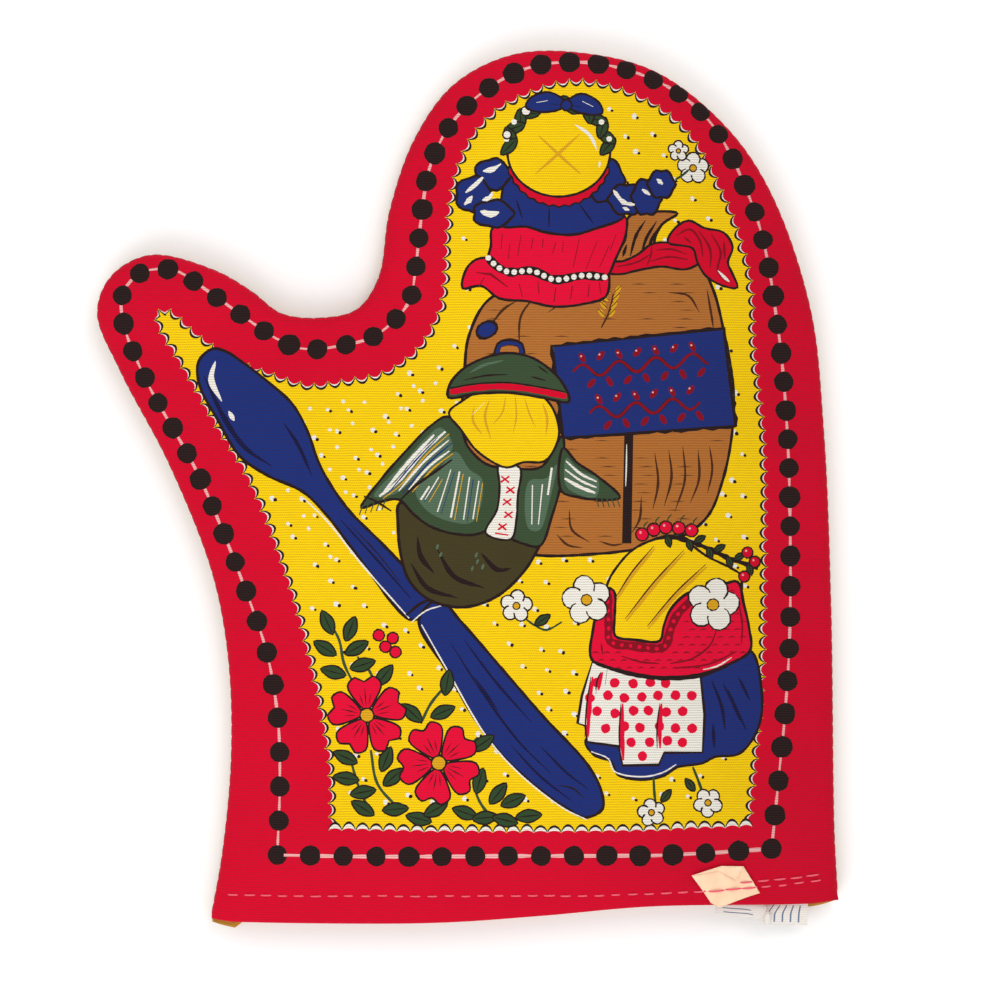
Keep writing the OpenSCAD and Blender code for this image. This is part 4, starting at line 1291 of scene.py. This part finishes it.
def inflatePadding():
    # the closed bag of both panels is blown up a little; how its top moves becomes the front's relief
    flat, triangles = layerCut(0.4, padding["spacing"], 41)
    top, bottom = frontHeight(flat, True)[0], backHeight(flat, True)[0]
    bag = build("paddingBag", solidBetween(flat, triangles, top, bottom), printedCotton)
    count = len(flat)
    edge = borderLoop(triangles)
    held = bag.vertex_groups.new(name="sewn")
    held.add(edge + [v + count for v in edge], 1.0, "REPLACE")
    cloth = bag.modifiers.new("Cloth", "CLOTH")
    settings = cloth.settings
    settings.quality = padding["quality"]
    settings.mass = padding["mass"] / 1000
    settings.use_pressure = True
    settings.uniform_pressure_force = padding["pressure"]
    settings.tension_stiffness = settings.compression_stiffness = padding["tension"]
    settings.bending_stiffness = padding["bending"]
    settings.shrink_min = settings.shrink_max = padding["slack"]
    settings.vertex_group_mass = "sewn"
    settings.effector_weights.gravity = 0
    cloth.point_cache.frame_start, cloth.point_cache.frame_end = 1, padding["frames"]
    scene = bpy.context.scene
    for number in range(1, padding["frames"] + 1):
        scene.frame_set(number)
    blown = bag.evaluated_get(bpy.context.evaluated_depsgraph_get()).to_mesh()
    moved = np.array([v.co.z for v in blown.vertices])[:count] * 1000 - top
    bag.evaluated_get(bpy.context.evaluated_depsgraph_get()).to_mesh_clear()
    bpy.data.objects.remove(bag)
    scene.frame_set(1)
    print("padding blown up, the top moved by", moved.min().round(2), "to", moved.max().round(2), "mm")
    # the frame has the fullness already: only the folds of the blown-up bag are taken over
    around = np.linalg.norm(flat[:, None] - flat[None], axis=2)
    weights = np.exp(-(around / padding["smooth"]) ** 2)
    moved = moved - weights @ moved / weights.sum(1)
    moved = padding["most"] * np.tanh(moved / padding["most"])
    tree = kdtree.KDTree(count)
    for i, (x, y) in enumerate(flat):
        tree.insert((x, y, 0), i)
    tree.balance()

    def relief(points):
        lift = np.empty(len(points))
        for i, (x, y) in enumerate(points):
            near = tree.find_n((x, y, 0), 7)
            weights = [math.exp(-(d / 5.0) ** 2) + 1e-9 for _, _, d in near]
            lift[i] = sum(w * moved[n] for w, (_, n, _) in zip(weights, near)) / sum(weights)
        return lift * ease(nearSide(points)[0] / 6) * ease((points[:, 1] - cuffY(points[:, 0]) - 3) / 12)
    return relief


def bendWith(piece, thumb):
    top = form["top"]
    if thumb:
        a = np.array(cut["thumbFold"]).mean(0)
        b = a + foldOut() * form["thumbBend"]
        inFrame((*a, top))
        inFrame((*b, top))
        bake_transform(piece)
    else:
        y = cut["fingerFold"]
        end = inFrame((0, y + form["fingerBend"], top))
        inFrame((0, y, top))
        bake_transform(piece)


def finishPiece(piece, nodes, thumb):
    bendWith(piece, thumb)
    parts = ("thumb",) if thumb else ("hand", "fingers")
    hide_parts(*[f"{nodes}_{part}" for part in parts])


def splitAndBend(name, cloth, material, nodes, flip, palette=None):
    made = []
    for thumb in (False, True):
        keep = thumbSide if thumb else (lambda c: ~thumbSide(c))
        piece = build(name + ("Thumb" if thumb else ""), cloth, material, keep, flip, palette,
                      cut["rightShade"] if palette else 0.0)
        finishPiece(piece, nodes, thumb)
        made.append(piece)
    return made


def flatArea(piece):
    # how much cloth the piece takes, measured on its flat cut in square metres
    mesh = piece.data
    mesh.calc_loop_triangles()
    flat = np.empty(len(mesh.vertices) * 3)
    mesh.attributes["cutMap"].data.foreach_get("vector", flat)
    corners = np.empty(len(mesh.loop_triangles) * 3, int)
    mesh.loop_triangles.foreach_get("vertices", corners)
    a, b, c = np.moveaxis(flat.reshape(-1, 3)[corners.reshape(-1, 3), :2] / 1000, 1, 0)
    return float(np.abs((b - a)[:, 0] * (c - a)[:, 1] - (b - a)[:, 1] * (c - a)[:, 0]).sum() / 2)


sheetSizes = {}


def declareSheet(piece, flat):
    area = min(flatArea(piece), flat[0] * flat[1])
    sheetSizes[piece.name] = (flat, area)


simulated["front"] = inflatePadding()
drawPicture()
print("picture drawn,", len(printed), "shapes")
frontCloth = makeShell(False)
frontPieces = splitAndBend(
    "frontShell", frontCloth, printedCotton, "front_shell", False, palette)
print("front shell", [len(p.data.polygons) for p in frontPieces])
backCloth = makeShell(True)
backPieces = splitAndBend("backShell", backCloth, goldenCotton, "back_shell", True)
print("back shell", [len(p.data.polygons) for p in backPieces])

# wadding, linings and the seam inside


def selectTriangles(flat, triangles, chosen):
    used, back = np.unique(triangles[chosen], return_inverse=True)
    return flat[used], back.reshape(-1, 3)


def waddingThickness(depth):
    return 0.5 + (form["wadding"] - 0.5) * ease(depth / 12)


def makeWadding(back):
    flat, triangles = layerCut(1.2, 4.5, 11 + back)
    name, nodes = ("backWadding", "back_wadding") if back else ("frontWadding", "front_wadding")
    thumb = thumbSide(flat[triangles].mean(1))
    for chosen, isThumb in ((~thumb, False), (thumb, True)):
        part, faces = selectTriangles(flat, triangles, chosen)
        height, depth = heightOf[back](part)
        room = form["foldRoom"] * foldShare(part)
        thick = waddingThickness(depth) - room * ease(depth / 12)
        inHem = ease((15 - part[:, 1] + cuffY(part[:, 0])) / 4)      # pressed thinner inside the hem
        thick = np.maximum(thick - form["hemThin"] * inHem, 0.3)
        near = form["underShell"] + room * ease(depth / 4)
        if back:
            top, bottom = height + near + thick, height + near
        else:
            top, bottom = height - near, height - near - thick
        solid = solidBetween(part, faces, top, bottom)
        piece = build(name + ("Thumb" if isThumb else ""), solid, waddingFibre)
        finishPiece(piece, nodes, isThumb)


def makeLining(back):
    flat, triangles = layerCut(1.0, 5.5, 21 + back)
    height, depth = heightOf[back](flat)
    inside = form["underShell"] + waddingThickness(depth) + form["overLining"]
    height = height + inside if back else height - inside
    cloth = Cloth()
    cloth.addPoints(np.column_stack([flat, height]), flat)
    cloth.addFaces(triangles.tolist(), [0] * len(triangles))
    name, nodes = ("backLining", "back_lining") if back else ("frontLining", "front_lining")
    return splitAndBend(name, cloth, liningCotton, nodes, not back)


def seamRun(inset, step, lift=0.0):
    side = evenLine(sideCurve, step)
    side = side[side[:, 1] > cuffY(side[:, 0]) + lift]
    return side, sideways(side), side - sideways(side) * inset


def makeSeamMargin():
    side, out, _ = seamRun(0, 3.0, form["hemDepth"] + 0.8)
    # the margin's section: how far in from the seam, and how high
    section = [(0.95, 6.0), (1.1, 6.42), (2.4, 6.9), (4.8, 6.75), (7.2, 6.1), (7.9, 5.5), (7.2, 4.7),
               (4.8, 4.6), (2.4, 5.0), (1.1, 5.5)]
    thumb = thumbSide(side)
    first = int(np.argmax(thumb))
    last = first + int(np.argmin(thumb[first:])) - 1
    runs = ((range(first + 1), False), (range(first, last + 2), True), (range(last + 1, len(side)), False))
    joined = {False: Cloth(), True: Cloth()}      # by whether it is the thumb's
    for run, isThumb in runs:
        rings = [[(*(side[i] - out[i] * d), z) for d, z in section] for i in run]
        joined[isThumb].addTube(rings, [[(4 * k, 3 * i) for k in range(len(section))] for i in run])
    for isThumb, cloth in joined.items():
        piece = build("seamMargin" + ("Thumb" if isThumb else ""), cloth, marginCotton)
        finishPiece(piece, "seam_margin", isThumb)


# stitches


def addStitch(cloth, path, radius, flatten=0.8, sides=6):
    path = np.array(path, float)
    along = np.gradient(path, axis=0)
    along /= np.linalg.norm(along, axis=1)[:, None]
    rings = []
    for i, (p, t) in enumerate(zip(path, along)):
        across = np.cross((0, 0, 1), t)
        across /= max(np.linalg.norm(across), 1e-6)
        up = np.cross(t, across)
        swell = radius * (0.55 + 0.45 * math.sin(math.pi * i / (len(path) - 1)) ** 0.5)
        turns = [2 * math.pi * k / sides for k in range(sides)]
        rings.append([p + swell * (math.cos(a) * across + flatten * math.sin(a) * up) for a in turns])
    cloth.addTube(rings, [[(k, i) for k in range(sides)] for i in range(len(rings))])


stitching = {
    "length": 3.7, "overTicket": 5.0, "pitch": 5.0, "thread": 0.27, "start": -70.4, "count": 36, "restart": 5,
    "lift": 1.8, "seamThread": 0.24
}


def rideHand(name, cloth, material, node):
    piece = build(name, cloth, material)
    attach(piece, "hand")
    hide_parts(node)
    return piece


def ticketLift(x, y):
    inside = insidePolygon(np.array([[x, y]]), np.array(ticket["outline"], float))[0]
    return ticket["rise"] + 0.12 if inside else 0.0


def makeHemStitches():
    sewer = random.Random(5)
    front, again, behind = Cloth(), Cloth(), Cloth()
    spots = [stitching["start"] + stitching["pitch"] * i for i in range(stitching["count"])]
    rows = [(front, x, 0.0) for x in spots]
    for i in range(stitching["restart"]):
        rows.append((again, spots[-1] - 1 - stitching["pitch"] * i, stitching["lift"]))
    for cloth, x, lift in rows:
        long = stitching["length"] * sewer.uniform(0.88, 1.08)
        if lift == 0 and ticketLift(x, hemY(x)):                 # the thread runs on over the paper
            long = stitching["overTicket"]
        dy = sewer.uniform(-0.12, 0.12)
        xs = np.linspace(x - long / 2, x + long / 2, 9)
        ys = hemY(xs) + lift + dy
        z = frontHeight(np.column_stack([xs, ys]))[0]
        arch = np.sin(np.linspace(0, np.pi, 9))
        up = np.array([ticketLift(a, b) for a, b in zip(xs, ys)])
        addStitch(cloth, np.column_stack([xs, ys, z - 0.16 + 0.52 * arch ** 0.6 + up]), stitching["thread"])
    for x in spots:
        xs = np.linspace(x + 0.7, x + 4.3, 9)
        ys = hemY(xs)
        z = backHeight(np.column_stack([xs, ys]))[0]
        arch = np.sin(np.linspace(0, np.pi, 9))
        addStitch(behind, np.column_stack([xs, ys, z + 0.2 - 0.32 * arch ** 0.6]), stitching["thread"])
    rideHand("frontHemStitches", front, hemPink, "front_hem_stitches")
    rideHand("frontHemRestart", again, hemPink, "front_hem_restart")
    rideHand("backHemStitches", behind, goldenThread, "back_hem_stitches")


def makeSeamThread():
    line = seamRun(0.02, 0.9, 1.2)[2]
    hand, thumb = Cloth(), Cloth()
    for first in range(0, len(line) - 4, 4):
        run = line[first:first + 5]
        run = run + (run.mean(0) - run) * 0.06
        z = form["seamZ"] + 0.12 * np.sin(np.linspace(0, np.pi, len(run)))
        target = thumb if thumbSide(run.mean(0)[None])[0] else hand
        addStitch(target, np.column_stack([run, z]), stitching["seamThread"], 1.0)
    for cloth, isThumb in ((hand, False), (thumb, True)):
        piece = build("seamThread" + ("Thumb" if isThumb else ""), cloth, seamRed)
        finishPiece(piece, "seam_thread", isThumb)


# paper ticket and care label

ticket = {
    "outline": [(67, 14.5), (71.4, 15.9), (75.9, 17.3), (82.6, 17.2), (87.5, 9.3), (81.4, 7.2), (75.4, 4.9),
                (72.8, 6.3), (69.6, 11)],
    "flap": [(67.2, 14.6), (75.9, 17.35), (82.7, 17.25), (80.5, 13.2), (75.3, 15.8)],
    "crease": [(69.8, 10.6), (78, 11.4), (86.2, 11.6)],
    "rise": 0.42, "thick": 0.16
}


def makeTicket():
    outline = evenLoop(ticket["outline"], 0.8)
    crease = evenLine(np.array(ticket["crease"], float), 0.8)[1:-1]
    flat, triangles = meshFromLines(outline[::-1], [crease], [], 1.0, 31, False)
    ground = np.maximum(frontHeight(np.column_stack([flat[:, 0], np.maximum(flat[:, 1], 6.4)]))[0], 0)
    gap = np.array([np.abs(crease - p).sum(1).min() for p in flat])
    lift = ticket["rise"] * (0.25 + 0.75 * ease(gap / 4))
    lift = lift + 0.12 * np.sin(flat[:, 0] * 1.1) * np.sin(flat[:, 1] * 0.9)
    lift += 0.5 * ease((flat[:, 0] - 84) / 4) + 0.45 * ease((70 - flat[:, 0]) / 4)
    cloth = solidBetween(flat, triangles, ground + lift + ticket["thick"] + 0.1, ground + lift + 0.1)
    outline = evenLoop(ticket["flap"], 0.8)
    flat, triangles = meshFromLines(outline[::-1], [], [], 1.0, 32, False)
    ground = frontHeight(flat)[0]
    lift = ticket["rise"] + 0.42 + 0.5 * ease((16.2 - flat[:, 1]) / 3)
    flap = solidBetween(flat, triangles, ground + lift + ticket["thick"], ground + lift)
    start = len(cloth.points)
    cloth.addPoints(flap.points, flap.flat)
    cloth.addFaces([tuple(v + start for v in f) for f in flap.faces], flap.inks)
    rideHand("priceTicket", cloth, ticketPaper, "price_ticket")


label = {
    # x across the tape, how far it curls up, and where its lower edge lies
    "bend": [(74.6, 0, 2.0), (80, 0, 1.4), (85, 0.1, 0.9), (87.6, 0.5, 0.1), (90.2, 1.9, -0.6),
             (91.2, 3.3, -0.8), (90.2, 4.2, -0.9), (89.2, 3.2, -1.0), (90.4, 1.6, -1.1), (93.4, 0.7, -1.2),
             (97.6, 0.5, -1.4), (102.6, 0.2, -1.8)],
    "root": 8.5, "rows": 36, "flat": (74.6, 102.6), "hinge": 4.4, "bars": (29, 33),
    "tape": (224, 219, 212), "print": (104, 116, 142)
}


def makeLabel():
    across = evenLine(smoothLine(label["bend"], 0.5), 0.5)
    cloth = Cloth()
    along = lengthsAlong(across)
    flatX = np.linspace(*label["flat"], len(across))
    deepest = 4.8 + label["root"]
    for j in range(label["rows"] + 1):
        y = deepest + (across[:, 2] - deepest) * (j / label["rows"])
        free = ease((6.2 - y) / 4.5)
        x = flatX + (across[:, 0] - flatX) * free
        inY = np.maximum(y, cuffY(x) + 1.5)
        height, depth = frontHeight(np.column_stack([x, inY]), True)
        z = height - hemFoldAt(depth) - 0.4
        z = z + across[:, 1] * free * 0.75 - 2.6 * ease((5.5 - y) / 9)
        now = cloth.addPoints(np.column_stack([x, y, z]), np.column_stack([along, y]))
        if j:
            for i in range(len(across) - 1):
                u, v = along[i], y[i] - across[i, 2]
                dark = 2.4 < u < 11 and j in label["bars"] or 20 < u < 33 and 0.8 < v < 6.0 and i % 5 == 0
                cloth.addFaces([(last[i], now[i], now[i + 1], last[i + 1])], [int(dark)])
        last = now
    colours = [linear(label["tape"]), linear(label["print"])]
    piece = build("careLabel", cloth, labelTape, None, False, colours)
    start, end = ((88.6, label["hinge"] + d, 9) for d in (0.6, -3.2))
    inFrame(start)
    inFrame(end)
    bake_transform(piece)
    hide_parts("care_label_root", "care_label_end")
    return piece


for back in (False, True):
    makeWadding(back)
frontLining, backLining = makeLining(False), makeLining(True)
makeSeamMargin()
print("padding, linings and seam margin made")
makeHemStitches()
makeSeamThread()
makeTicket()
careLabel = makeLabel()
print("stitches, ticket and label made")

# every sheet's flat cut, in metres

handFlat, thumbFlat, liningFlat, liningThumb = (0.184, 0.273), (0.067, 0.120), (0.182, 0.262), (0.060, 0.116)
for (handPart, thumbPart), big, small in (
        (frontPieces, handFlat, thumbFlat), (backPieces, handFlat, thumbFlat),
        (frontLining, liningFlat, liningThumb), (backLining, liningFlat, liningThumb)):
    declareSheet(handPart, big)
    declareSheet(thumbPart, small)
declareSheet(careLabel, (0.0376, 0.0155))
print("sheets", {k: (v[0], round(v[1], 5)) for k, v in sheetSizes.items()})
